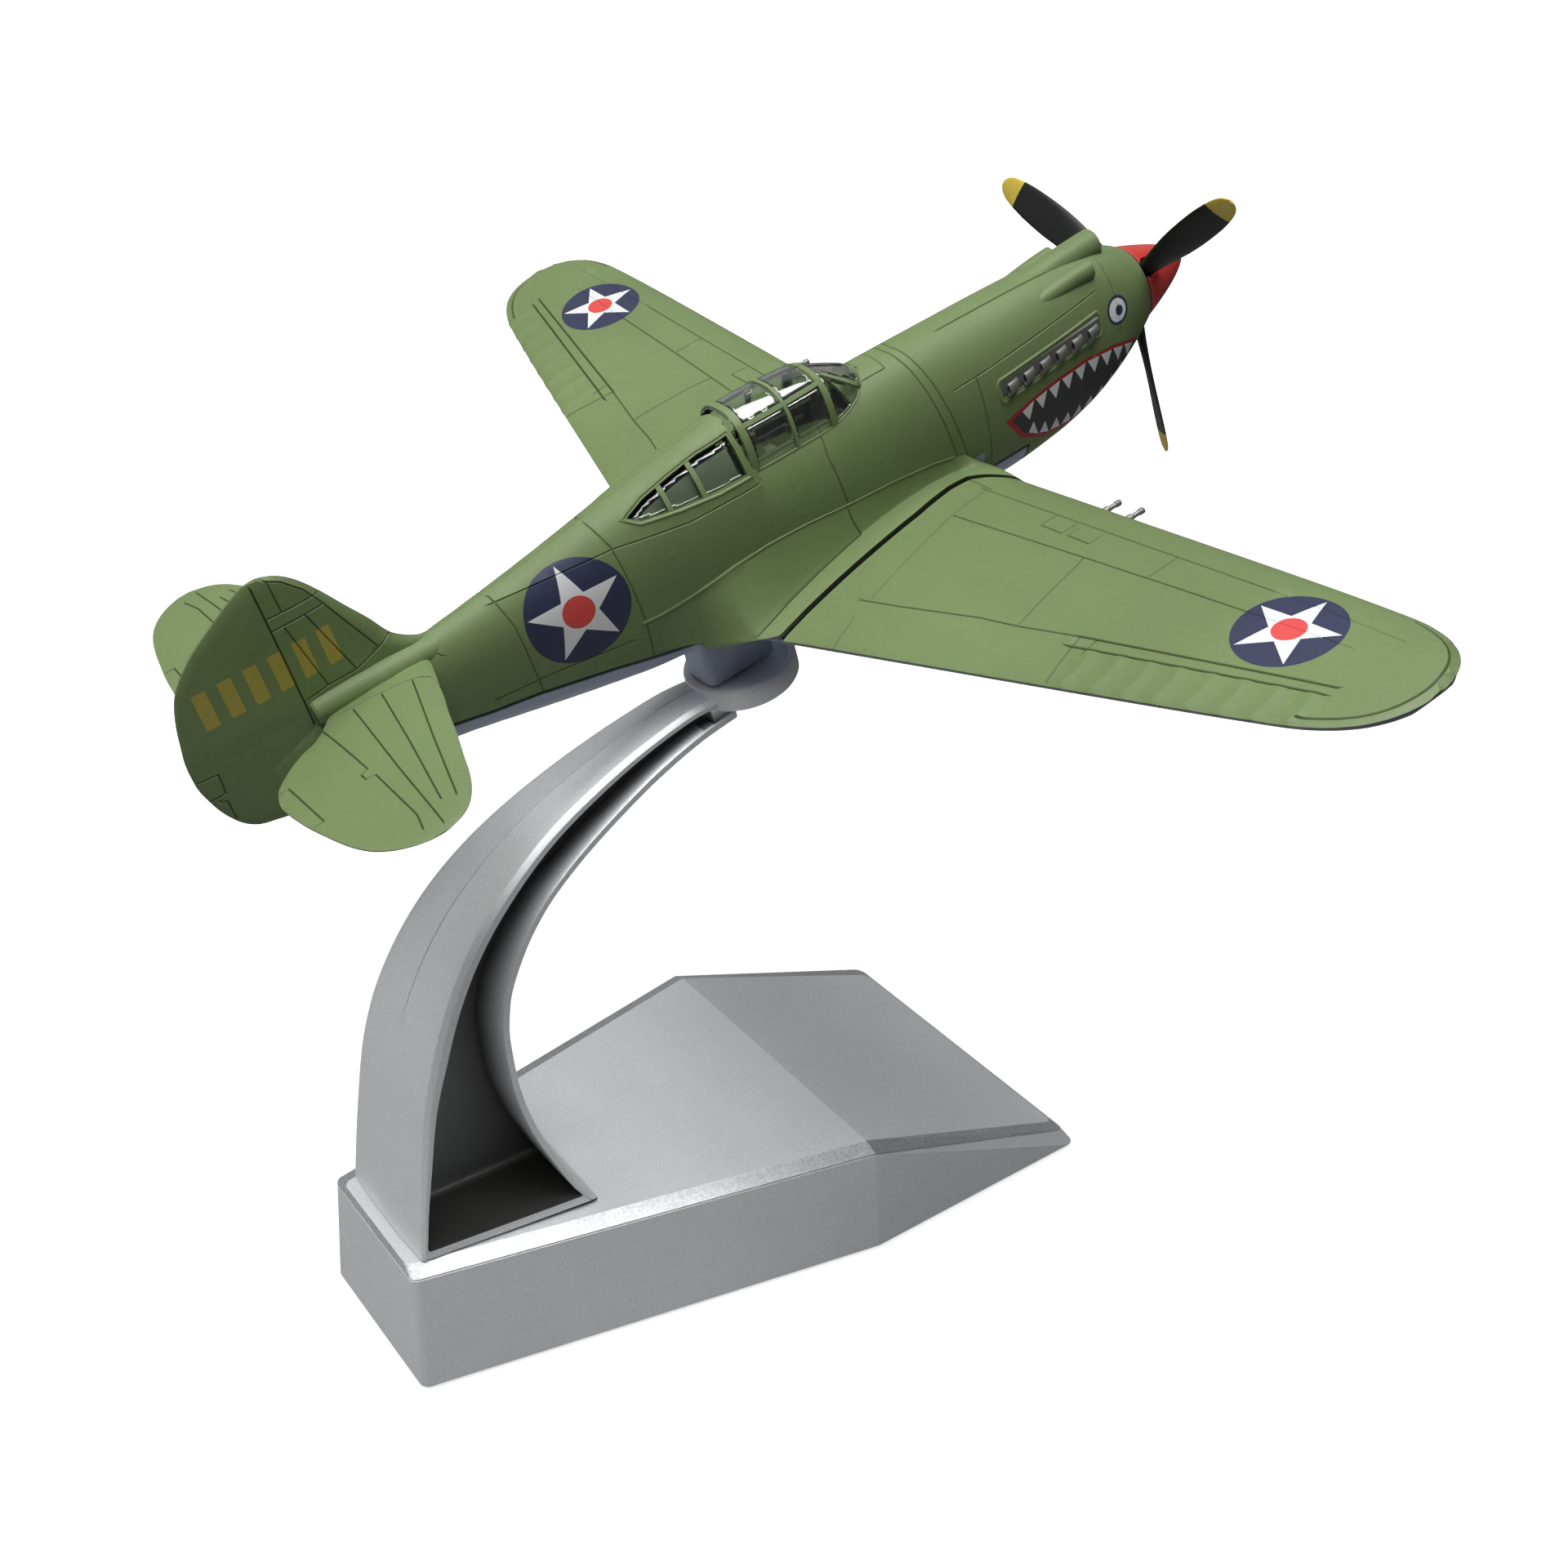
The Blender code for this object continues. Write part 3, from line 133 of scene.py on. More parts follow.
def curve(rows, column, values):
    """Monotone cubic through one column of a table, at an array of values of column 0."""
    keys = np.array([row[0] for row in rows], float)
    heights = np.array([row[column] for row in rows], float)
    values = np.clip(np.asarray(values, float), keys[0], keys[-1])
    gaps = np.diff(keys)
    slopes = np.diff(heights) / gaps
    product = slopes[:-1] * slopes[1:]
    middle = np.where(product > 0, 2 * product / np.where(product > 0, slopes[:-1] + slopes[1:], 1.0), 0.0)
    lean = np.concatenate([slopes[:1], middle, slopes[-1:]])
    at = np.clip(np.searchsorted(keys, values, side="right") - 1, 0, len(gaps) - 1)
    part = (values - keys[at]) / gaps[at]
    return (
        (2 * part**3 - 3 * part**2 + 1) * heights[at]
        + (part**3 - 2 * part**2 + part) * lean[at] * gaps[at]
        + (3 * part**2 - 2 * part**3) * heights[at + 1]
        + (part**3 - part**2) * lean[at + 1] * gaps[at]
    )


def turns(count):
    """Angles evenly spaced round a full turn."""
    return np.linspace(0, math.tau, count, endpoint=False)


def circle(centre, radius, count):
    """Outline of a circle."""
    return [(centre[0] + radius * math.cos(t), centre[1] + radius * math.sin(t)) for t in turns(count)]


def star(centre, radius, first):
    """Five-pointed star with its first point at that angle."""
    points = []
    for n in range(10):
        reach = radius * (1.0 if n % 2 == 0 else 0.4)
        turn = first + math.tau * n / 10
        points.append((centre[0] + reach * math.cos(turn), centre[1] + reach * math.sin(turn)))
    return points


def resample(line, step, closed=False):
    """The line with extra points, so that no run is longer than step."""
    line = [tuple(point) for point in line]
    if closed:
        line = line + line[:1]
    out = [line[0]]
    for start, end in zip(line, line[1:]):
        count = max(1, math.ceil(math.dist(start, end) / step))
        for n in range(1, count + 1):
            share = n / count
            out.append(tuple(a + (b - a) * share for a, b in zip(start, end)))
    return out[:-1] if closed else out


def beside(line, by, closed=False):
    """The line moved sideways, with mitred corners."""
    points = np.array(line, float)
    if closed:
        before, after = points - np.roll(points, 1, 0), np.roll(points, -1, 0) - points
    else:
        runs = np.diff(points, axis=0)
        before, after = np.vstack([runs[:1], runs]), np.vstack([runs, runs[-1:]])
    before = before / np.maximum(np.linalg.norm(before, axis=1, keepdims=True), 1e-9)
    after = after / np.maximum(np.linalg.norm(after, axis=1, keepdims=True), 1e-9)
    side = np.stack([-(before + after)[:, 1], (before + after)[:, 0]], 1)
    length = np.maximum(np.linalg.norm(side, axis=1, keepdims=True), 1e-6)
    side = side / length * np.minimum(2 / length, 1.6)
    return [tuple(point) for point in points + side * by]


def area_of(outline):
    """Signed area of a closed outline, positive when it runs anticlockwise."""
    pairs = zip(outline, outline[1:] + outline[:1])
    return sum(x0 * y1 - x1 * y0 for (x0, y0), (x1, y1) in pairs) / 2


def inside(points, outline):
    """Which points lie inside a closed outline."""
    points = np.asarray(points, float)
    x, y = points[:, 0], points[:, 1]
    within = np.zeros(len(points), bool)
    corners = np.array(outline, float)
    for (x0, y0), (x1, y1) in zip(corners, np.roll(corners, -1, 0)):
        if y0 == y1:
            continue
        crosses = (y0 > y) != (y1 > y)
        within ^= crosses & (x < (x1 - x0) * (y - y0) / (y1 - y0) + x0)
    return within


def distance(points, line):
    """Distance from each point to a line, or a huge one for points far past the widest seam."""
    points = np.asarray(points, float)
    least, past_seams = np.full(len(points), 1e9), 1.5
    for start, end in zip(line, line[1:]):
        start, run = np.array(start, float), np.array(end, float) - np.array(start, float)
        near = np.all(points > np.minimum(start, start + run) - past_seams, axis=1)
        near &= np.all(points < np.maximum(start, start + run) + past_seams, axis=1)
        if not near.any():
            continue
        some = points[near]
        share = np.clip((some - start) @ run / max(run @ run, 1e-12), 0, 1)
        least[near] = np.minimum(least[near], np.linalg.norm(some - start - share[:, None] * run, axis=1))
    return least


def to_row_frame(points):
    """Aircraft millimetres to row metres."""
    points = np.asarray(points, float)
    x, y, z = points[..., 0], points[..., 1], points[..., 2]
    c, s = math.cos(PITCH), math.sin(PITCH)
    return (np.stack([x, y * c + z * s, -y * s + z * c], -1) + HUB) * 0.001


# ---------------------------------------------------------------- flat sheets bent onto a surface

class Sheet:
    """A flat outline cut into triangles whose edges follow every seam, ridge and painted mark."""

    def __init__(self, outline, spacing=0.8):
        self.spacing = spacing
        self.outline = resample(outline, spacing, closed=True)
        self.chains = [(self.outline, True)]
        self.reliefs = []
        self.marks = []
        self.holes = []

    def seam(self, line, half=0.13, depth=0.13, closed=False, flat=0.0):
        """A groove along a line. A negative depth makes a ridge, and flat is half the width of its top."""
        line = resample(line, self.spacing * 0.7, closed)
        for by in (-half, half):
            self.chains.append((beside(line, by, closed), closed))
        for by in ((-flat, flat) if flat else (0.0,)):
            self.chains.append((beside(line, by, closed) if by else line, closed))
        self.reliefs.append((line + line[:1] if closed else line, half, flat, depth))

    def mark(self, outline, name, step=0.5):
        """Faces inside the outline take that name."""
        outline = resample(outline, step, closed=True)
        self.chains.append((outline, True))
        self.marks.append((outline, name))

    def hole(self, outline):
        """No faces inside the outline."""
        outline = resample(outline, self.spacing * 0.7, closed=True)
        self.chains.append((outline, True))
        self.holes.append(outline)

    def build(self):
        """Flat points, triangles, each triangle's name and each point's depth below the surface."""
        points, edges = [], []
        for chain, closed in self.chains:
            first = len(points)
            points += chain
            edges += [(first + n, first + n + 1) for n in range(len(chain) - 1)]
            if closed:
                edges.append((first + len(chain) - 1, first))
        tree = KDTree(len(points))
        for number, (u, v) in enumerate(points):
            tree.insert((u, v, 0.0), number)
        tree.balance()
        corners = np.array(self.outline)
        low, high = corners.min(0), corners.max(0)
        rise = self.spacing * math.sqrt(3) / 2
        grid = []
        for row in range(int((high[1] - low[1]) / rise) + 2):
            shift = self.spacing / 2 * (row % 2)
            for column in range(int((high[0] - low[0]) / self.spacing) + 2):
                grid.append((low[0] + shift + column * self.spacing, low[1] + row * rise))
        grid = [p for p, within in zip(grid, inside(grid, self.outline)) if within]
        grid = [p for p in grid if tree.find((p[0], p[1], 0.0))[2] > 0.42 * self.spacing]
        made = delaunay_2d_cdt([Vector(p) for p in points + grid], edges, [], 0, 1e-5)
        flat = np.array([tuple(p) for p in made[0]])
        faces = np.array([tuple(f) for f in made[2]])
        middle = flat[faces].mean(1)
        wanted = inside(middle, self.outline)
        for outline in self.holes:
            wanted &= ~inside(middle, outline)
        faces, middle = faces[wanted], middle[wanted]
        names = np.full(len(faces), "", dtype=object)
        for outline, name in self.marks:
            names[inside(middle, outline)] = name
        depth = np.zeros(len(flat))
        for line, half, top, amount in self.reliefs:
            share = np.clip((half - distance(flat, line)) / (half - top), 0, 1)
            change = share * amount
            depth = np.where(np.abs(change) > np.abs(depth), change, depth)
        return flat, faces, names, depth


class Shell:
    """Triangles in millimetres, with a paint name for each face and a groove depth for each point."""

    def __init__(self, points, faces, names, depth):
        self.points, self.faces, self.names, self.depth = points, faces, names, depth

    def mirrored(self):
        """This shell and its mirror image, as one."""
        return joined(self, self.reflected())

    def reflected(self):
        """The mirror image alone."""
        return Shell(self.points * [-1, 1, 1], self.faces[:, ::-1], self.names, self.depth)

    def only(self, *names):
        """The faces with these names, and their points."""
        chosen = np.isin(self.names, names)
        used, index = np.unique(self.faces[chosen], return_inverse=True)
        return Shell(self.points[used], index.reshape(-1, 3), self.names[chosen], self.depth[used])


def bend(sheet, surface, outward):
    """Puts a sheet on surface(u, v), sinks its seams and turns every face outward."""
    flat, faces, names, depth = sheet.build()
    u, v = flat[:, 0], flat[:, 1]
    step = 0.02
    points = surface(u, v)
    along, round_it = surface(u + step, v) - surface(u - step, v), surface(u, v + step) - surface(u, v - step)
    normal = np.cross(along, round_it)
    normal /= np.maximum(np.linalg.norm(normal, axis=1, keepdims=True), 1e-12)
    away = outward(points)
    normal *= np.where((normal * away).sum(1) < 0, -1, 1)[:, None]
    points = points - normal * depth[:, None]
    corner = points[faces]
    facing = np.cross(corner[:, 1] - corner[:, 0], corner[:, 2] - corner[:, 0])
    flip = (facing * normal[faces].sum(1)).sum(1) < 0
    faces = np.where(flip[:, None], faces[:, ::-1], faces)
    return Shell(points, faces, names, depth)


def toward(*direction):
    """The same outward direction for every point."""
    return lambda points: np.broadcast_to(direction, points.shape)


def away_from(drop):
    """Outward from a line along the aircraft, that far below the thrust line."""
    return lambda points: points * [1.0, 0.0, 1.0] + [0.0, 0.0, drop]


class Sections:
    """A surface through cross-sections, unrolled: u is the station and v the distance round the section."""

    def __init__(self, stations, section, origin):
        self.stations = np.array(stations, float)
        self.rings = np.array([section(y) for y in stations])
        runs = np.linalg.norm(np.diff(self.rings, axis=1), axis=2)
        reach = np.concatenate([np.zeros((len(runs), 1)), np.cumsum(runs, axis=1)], axis=1)
        self.reach = reach - reach[:, origin][:, None]

    def rows(self, u):
        row = np.clip(np.searchsorted(self.stations, u, side="right") - 1, 0, len(self.stations) - 2)
        return row, (u - self.stations[row]) / (self.stations[row + 1] - self.stations[row])

    def at(self, u, v):
        row, share = self.rows(u)
        out = np.zeros((len(u), 3))
        for number in np.unique(row):
            some = row == number
            here, after = (
                np.stack([np.interp(v[some], self.reach[n], self.rings[n, :, axis]) for axis in range(3)], 1)
                for n in (number, number + 1)
            )
            out[some] = here + (after - here) * share[some][:, None]
        return out

    def across(self, y, value, axis):
        """v at station y where that axis has that value. Axis 2 is height, and axis 0 the width above."""
        row, share = self.rows(np.array([y]))
        found = []
        for number in (row[0], row[0] + 1):
            ring, reach = self.rings[number, :, axis], self.reach[number]
            if axis == 0:
                widest = int(np.argmax(ring))
                ring, reach = ring[widest:], reach[widest:]
            order = np.argsort(ring)
            found.append(np.interp(value, ring[order], reach[order]))
        return float(found[0] + (found[1] - found[0]) * share[0])

    def line(self, points, axis=2, step=0.6, closed=False):
        """(y, value) points as (u, v) points, with more of them between."""
        return [(y, self.across(y, value, axis)) for y, value in resample(points, step, closed)]

    def area(self, points, axis=2, step=0.5):
        """The same for a closed outline."""
        return self.line(points, axis, step, closed=True)

    def hoop(self, y, low, lean=0.0, step=0.5):
        """A line round the section at y from v low to the top, leaning aft by lean at its end."""
        rise = self.top(y) - low
        count = max(2, int(rise / step))
        return [(y + lean * n / count, low + rise * n / count) for n in range(count + 1)]

    def top(self, y):
        return float(np.interp(y, self.stations, self.reach[:, -1]))

    def bottom(self, y):
        return float(np.interp(y, self.stations, self.reach[:, 0]))


# ---------------------------------------------------------------- materials

class Look:
    """A material being built. A node's inputs take plain values or other nodes' outputs."""

    def __init__(self, name):
        self.material = bpy.data.materials.new(name)
        self.material.use_nodes = True
        self.place = self.node("TexCoord", "Object")

    def fill(self, node, inputs):
        for socket, value in inputs.items():
            if isinstance(value, bpy.types.NodeSocket):
                self.material.node_tree.links.new(value, node.inputs[socket])
            else:
                node.inputs[socket].default_value = value

    def surface(self, inputs):
        self.fill(self.material.node_tree.nodes["Principled BSDF"], inputs)

    def node(self, kind, output, inputs=None, **settings):
        """One output of a new node."""
        made = self.material.node_tree.nodes.new("ShaderNode" + kind)
        for name, value in settings.items():
            setattr(made, name, value)
        self.fill(made, inputs or {})
        return made.outputs[output]

    def noise(self, scale, detail=3.0):
        inputs = {"Vector": self.place, "Scale": scale, "Detail": detail, "Roughness": 0.55}
        return self.node("TexNoise", "Fac", inputs)

    def ramp(self, source, low, high, low_colour, high_colour):
        """The first colour where the source is below low, changing to the second at high."""
        made = self.node("ValToRGB", "Color", {"Fac": source})
        first, second = made.node.color_ramp.elements
        first.position, second.position = low, high
        first.color, second.color = (*low_colour, 1.0), (*high_colour, 1.0)
        return made

    def mix(self, kind, share, first, second):
        return self.node("Mix", 2, {0: share, 6: first, 7: second}, data_type="RGBA", blend_type=kind)


def paint(name, colour, rough=0.5, metallic=0.0, spread=0.1, fleck=0.06, coat=0.0, specular=0.5,
          grain=1500.0, wear=0.35):
    """Paint over cast metal or plastic: uneven colour, seams darkened as painted shade, worn edges and a fine
    orange-peel skin.
    """
    look = Look(name)
    darker = tuple(part * (1 - spread) for part in colour)
    lighter = tuple(min(part * (1 + spread), 1.0) for part in colour)
    worn = tuple(part * 0.55 + 0.3 for part in colour)
    base = look.ramp(look.noise(45.0), 0.35, 0.68, darker, lighter)
    speck = look.ramp(look.noise(grain, 2.0), 0.3, 0.72, (1 - fleck,) * 3, (1.0,) * 3)
    base = look.mix("MULTIPLY", 1.0, base, speck)
    # Painted shade: the seam layer darkens the colour towards near-black in grooves, in gaps between parts
    # and in the stand arm's pockets.
    seam = look.node("Attribute", "Fac", attribute_name="seam")
    base = look.mix("MULTIPLY", seam, base, (0.08, 0.08, 0.07, 1.0))
    edge = look.ramp(look.node("NewGeometry", "Pointiness"), 0.53, 0.6, (0.0,) * 3, (wear,) * 3)
    look.surface({
        "Base Color": look.mix("MIX", edge, base, (*worn, 1.0)),
        "Metallic": metallic, "Coat Weight": coat, "Specular IOR Level": specular,
        "Roughness": look.node("MapRange", "Result", {
            "Value": look.noise(160.0), "To Min": max(rough - 0.07, 0.03), "To Max": rough + 0.09}),
        "Normal": look.node("Bump", "Normal", {
            "Height": look.noise(2200.0, 2.0), "Strength": 0.35, "Distance": 0.00001}),
    })
    return look.material


def clear(name, tint, rough=0.04):
    """Clear moulded plastic with faint unevenness."""
    look = Look(name)
    smear = look.node("TexNoise", "Fac", {"Vector": look.place, "Scale": 180.0})
    shine = {"Value": smear, "To Min": rough, "To Max": rough + 0.08}
    look.surface({
        "Base Color": (*tint, 1.0), "Transmission Weight": 1.0, "IOR": 1.45, "Coat Weight": 1.0,
        "Coat IOR": 1.7, "Roughness": look.node("MapRange", "Result", shine),
    })
    return look.material


def make_looks():
    """Every material, by name."""
    return {
        "green": paint("olive_green_paint", (0.172, 0.24, 0.096), 0.52, spread=0.06,
                       specular=0.3, wear=0.08),
        "grey": paint("belly_grey_paint", (0.35, 0.4, 0.52), 0.5, spread=0.06),
        "navy": paint("marking_navy", (0.032, 0.038, 0.085), 0.48, spread=0.06, specular=0.35),
        "white": paint("marking_white", (0.78, 0.79, 0.8), 0.45, spread=0.03, fleck=0.03),
        "red": paint("marking_red", (0.72, 0.07, 0.065), 0.45, spread=0.05),
        "ochre": paint("marking_ochre", (0.42, 0.34, 0.06), 0.5, spread=0.06),
        "lip": paint("mouth_red", (0.4, 0.02, 0.018), 0.5, spread=0.1),
        "mouth": paint("mouth_black", (0.045, 0.045, 0.05), 0.55, spread=0.1),
        "spinner": paint("spinner_red", (0.62, 0.035, 0.028), 0.36, spread=0.06, coat=0.2),
        "black": paint("blade_black", (0.012, 0.012, 0.013), 0.42, spread=0.2, specular=0.3),
        "yellow": paint("tip_yellow", (0.72, 0.53, 0.06), 0.42, spread=0.08),
        # Black of the cockpit's small parts, also used as painted shade inside the nose, in the intakes, in
        # the wings' joint and behind the spinner.
        "dark": paint("black_and_painted_shade", (0.012, 0.013, 0.012), 0.6, spread=0.2),
        # Grey-green of the wall behind the quarter windows, set to stand in for the panes' dim reflection.
        "lining": paint("window_lining", (0.22, 0.25, 0.19), 0.6, spread=0.15),
        "interior": paint("cockpit_green", (0.03, 0.036, 0.024), 0.6, spread=0.15),
        "trough": paint("exhaust_trough", (0.15, 0.155, 0.14), 0.6, spread=0.1),
        "gun": paint("gun_metal", (0.3, 0.3, 0.28), 0.42, metallic=0.6, spread=0.2),
        "silver": paint("silver_paint", (0.84, 0.85, 0.87), 0.5, metallic=0.42, spread=0.02,
                        fleck=0.16, grain=4200.0),
        "brushed": paint("brushed_edge", (0.56, 0.57, 0.59), 0.44, metallic=0.5, spread=0.14,
                         fleck=0.35, grain=2600.0),
        # Painted shade: dark grey for the arm's webs, standing in for the shade deep in its pockets.
        "recess": paint("arm_recess_painted_shade", (0.27, 0.275, 0.285), 0.55, metallic=0.2, spread=0.05),
        "steel": paint("zinc_steel", (0.52, 0.52, 0.54), 0.3, metallic=1.0, spread=0.06),
        "brass": paint("turned_brass", (0.62, 0.43, 0.17), 0.3, metallic=1.0, spread=0.1),
        "pad": paint("pad_rubber", (0.025, 0.025, 0.026), 0.8, spread=0.15),
        "glass": clear("canopy_clear", (0.86, 0.92, 0.84)),
    }


# ---------------------------------------------------------------- pieces

def turn_in_edges(mesh, seam, rim, fold):
    """Extrudes the open edges inward by rim, or to where fold says, with a little painted shade on them like
    a seam's.
    """
    mesh.normal_update()
    edges = [edge for edge in mesh.edges if len(edge.link_faces) == 1]
    before = set(mesh.verts)
    grown = bmesh.ops.extrude_edge_only(mesh, edges=edges)["geom"]
    for vert in grown:
        if not isinstance(vert, bmesh.types.BMVert) or vert in before:
            continue
        source = next(edge.other_vert(vert) for edge in vert.link_edges if edge.other_vert(vert) in before)
        vert.co = Vector(fold(np.array(source.co))) if fold else source.co - source.normal * rim
        # Painted shade on the turned-in edge, through the seam layer.
        vert[seam] = 0.35


def piece(name, shell, looks, paints, replaced, body="aircraft", rim=0.0, fold=None, sharp=28):
    """One mesh object from a shell: welded, with turned-in open edges, ready to render.

    paints gives the look of each face name. rim folds open edges inward by that many millimetres,
    and fold, if given, says where a point of the open edge goes instead.
    """
    order = list(paints)
    mesh = bmesh.new()
    # The seam layer holds each point's groove depth as a share; the paints turn it into painted shade.
    seam = mesh.verts.layers.float.new("seam")
    deepest = max(float(np.abs(shell.depth).max()), 1e-6)
    for point, depth in zip(shell.points, shell.depth):
        mesh.verts.new(point)[seam] = min(max(depth / deepest, 0.0), 1.0)
    mesh.verts.ensure_lookup_table()
    for face, mark in zip(shell.faces, shell.names):
        try:
            made = mesh.faces.new([mesh.verts[int(n)] for n in face])
        except ValueError:
            continue
        made.material_index = order.index(mark) if mark in order else 0
    bmesh.ops.remove_doubles(mesh, verts=mesh.verts, dist=0.01)
    loose = [vert for vert in mesh.verts if not vert.link_faces]
    bmesh.ops.delete(mesh, geom=loose, context="VERTS")
    if rim or fold:
        turn_in_edges(mesh, seam, rim, fold)
    data = bpy.data.meshes.new(name)
    mesh.to_mesh(data)
    mesh.free()
    places = np.array([vert.co for vert in data.vertices], float)
    places = places * 0.001 if body == "stand" else to_row_frame(places)
    data.vertices.foreach_set("co", places.ravel())
    for mark in order:
        data.materials.append(looks[paints[mark]])
    data.shade_smooth()
    data.set_sharp_from_angle(angle=math.radians(sharp))
    made = bpy.data.objects.new(name, data)
    bpy.context.scene.collection.objects.link(made)
    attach(made, body)
    if replaced:
        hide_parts(*replaced)
    return made


def plain(points, faces):
    """A shell without marks, from points and faces of any size."""
    triangles = []
    for face in faces:
        triangles += [(face[0], face[n], face[n + 1]) for n in range(1, len(face) - 1)]
    names = np.full(len(triangles), "", dtype=object)
    return Shell(np.array(points, float), np.array(triangles), names, np.zeros(len(points)))


def joined(*shells):
    """Several shells as one."""
    firsts = np.cumsum([0] + [len(shell.points) for shell in shells])
    return Shell(
        np.vstack([shell.points for shell in shells]),
        np.vstack([shell.faces + first for shell, first in zip(shells, firsts)]),
        np.concatenate([shell.names for shell in shells]), np.concatenate([shell.depth for shell in shells]),
    )


def loft(rings, caps=True):
    """The skin through rings of equal length."""
    count = len(rings[0])
    faces = []
    for row in range(len(rings) - 1):
        for column in range(count):
            after = (column + 1) % count
            low, high = row * count, (row + 1) * count
            faces.append((low + column, low + after, high + after, high + column))
    if caps:
        faces.append(tuple(range(count))[::-1])
        faces.append(tuple((len(rings) - 1) * count + column for column in range(count)))
    return plain([point for ring in rings for point in ring], faces)


# ---------------------------------------------------------------- fuselage

SECTION_STEPS = 120


def half_section(y):
    """Left half of the fuselage section at y, from the keel to the crown."""
    half, crown, keel, waist = (float(curve(STATIONS, column, y)) for column in (1, 2, 3, 4))
    waist = min(waist, crown - 0.4)
    ring = []
    for angle in np.linspace(-math.pi / 2, math.pi / 2, SECTION_STEPS + 1):
        across, rise = math.cos(angle), math.sin(angle)
        fullness = 0.96 if rise > 0 else 0.86
        reach = crown - waist if rise > 0 else waist - keel
        height = reach * math.copysign(abs(rise) ** fullness, rise)
        ring.append((half * abs(across) ** fullness, y, waist + height))
    return ring


def make_body():
    """The surface of the fuselage's left half, with closer stations at the step behind the hood."""
    pitch = 0.4
    stations = [*np.arange(NOSE_Y, HOOD_END, pitch), *np.linspace(HOOD_END, SPINE_START, 5),
                *np.arange(SPINE_START, TAIL_POST_Y, pitch), TAIL_POST_Y]
    return Sections(sorted({round(float(y), 3) for y in stations}), half_section, SECTION_STEPS // 2)


def fuselage_marks(body, sheet):
    """Seams, holes and paint of one side of the fuselage."""
    cockpit = body.area([(COCKPIT_FRONT, 0.0), (COCKPIT_FRONT, COCKPIT_HALF), (COCKPIT_REAR, COCKPIT_HALF),
                         (COCKPIT_REAR, 0.0)], axis=0)
    past_top = 99.0
    sheet.hole(cockpit + [(COCKPIT_REAR, past_top), (COCKPIT_FRONT, past_top)])
    for opening, step in ((EXHAUST_SLOT, 0.5), (QUARTER_WINDOW, 0.4)):
        border = body.area(opening, step=step)
        sheet.hole(border)
        rim = beside(border, 0.4 if area_of(border) < 0 else -0.4, closed=True)
        sheet.seam(rim, half=0.24, depth=-0.13, closed=True, flat=0.06)
    for line in FUSELAGE_SEAMS:
        sheet.seam(body.line(line))
    for y, lean in ((33.1, 4.2), (34.6, 3.8)):
        sheet.seam(body.hoop(y, body.across(y, -8.0, 2), lean))
    sheet.seam(body.line([(7.0, 1.6), (31.0, 1.6)], axis=0))
    sheet.seam(body.line([(40.0, 2.6), (43.4, 2.6)], axis=0), half=0.1, depth=0.1)
    sheet.seam(body.hoop(40.0, body.across(40.0, 2.6, 0)), half=0.1, depth=0.1)
    for seam in (UPPER_SEAM, CHIN_SEAM):
        sheet.seam(body.line(seam), half=0.3, depth=0.4, flat=0.1)
    sheet.mark(body.area(LOWER_REAR), "rear")
    sheet.mark(body.area(CHIN), "chin")
    sheet.mark(body.area(BELLY), "belly")
    centre = (85.5, body.across(85.5, 1.9, 2))
    roundel(sheet, centre, 6.1, math.radians(87))
    face_marks(body, sheet)


ROUNDEL_LOOKS = {"navy": "navy", "white": "white", "red": "red"}


def roundel(sheet, centre, radius, first):
    """A plain star with a dot on a dark disc."""
    sheet.mark(circle(centre, radius, 64), "navy")
    sheet.mark(star(centre, radius * 0.94, first), "white")
    sheet.mark(circle(centre, radius * 0.31, 32), "red")


def face_marks(body, sheet):
    """A plain painted grin on the cowling: a dark mouth with red lips and even teeth, and a round eye."""
    def on(points):
        return [(y, body.across(y, z, 2)) for y, z in points]

    upper = [(4.4, -3.9), (9.0, -2.5), (14.0, -1.9), (19.0, -2.1), (23.5, -2.7), (27.6, -3.7)]
    lower = [(27.6, -3.7), (25.4, -7.0), (21.5, -9.2), (16.5, -10.0), (11.0, -9.6), (7.4, -8.2), (4.9, -6.2)]
    sheet.mark(on(resample(upper + lower[1:], 0.6, closed=True)), "lip")
    lip_width = 0.45
    upper_in = [(y, z - lip_width) for y, z in upper[:-1]] + [(26.6, -4.1)]
    lower_in = [(24.9, -6.6), (21.2, -8.7), (16.5, -9.5), (11.1, -9.1), (7.7, -7.8), (5.3, -5.9)]
    sheet.mark(on(resample(upper_in + lower_in, 0.6, closed=True)), "mouth")
    teeth = 9
    for edge, size in ((upper_in, -1.9), (lower_in, 1.7)):
        line = resample(edge, 0.15)
        spots = [line[int(share * (len(line) - 1))] for share in np.linspace(0.04, 0.93, teeth + 1)]
        for start, end in zip(spots, spots[1:]):
            middle = ((start[0] + end[0]) / 2, (start[1] + end[1]) / 2 + size)
            gap = (end[0] - start[0]) * 0.07
            sheet.mark(on([(start[0] + gap, start[1]), middle, (end[0] - gap, end[1])]), "white")
    eye = (7.6, 1.3)
    sheet.mark(on(circle(eye, 1.75, 32)), "navy")
    sheet.mark(on(circle(eye, 1.4, 32)), "white")
    sheet.mark(on(circle((eye[0] - 0.25, eye[1] - 0.1), 0.62, 20)), "navy")


EXHAUST_SLOT = (
    (11.0, 0.5), (11.2, 0.2), (27.1, -0.8), (27.3, -0.55), (27.3, 0.95), (27.1, 1.2), (11.2, 2.2),
    (11.0, 1.95),
)
QUARTER_WINDOW = (
    (62.1, 6.9), (62.1, 11.1), (66.0, 10.7), (70.0, 10.0), (73.8, 9.2), (76.4, 8.3), (75.2, 7.6),
    (70.6, 7.1), (66.0, 6.8),
)
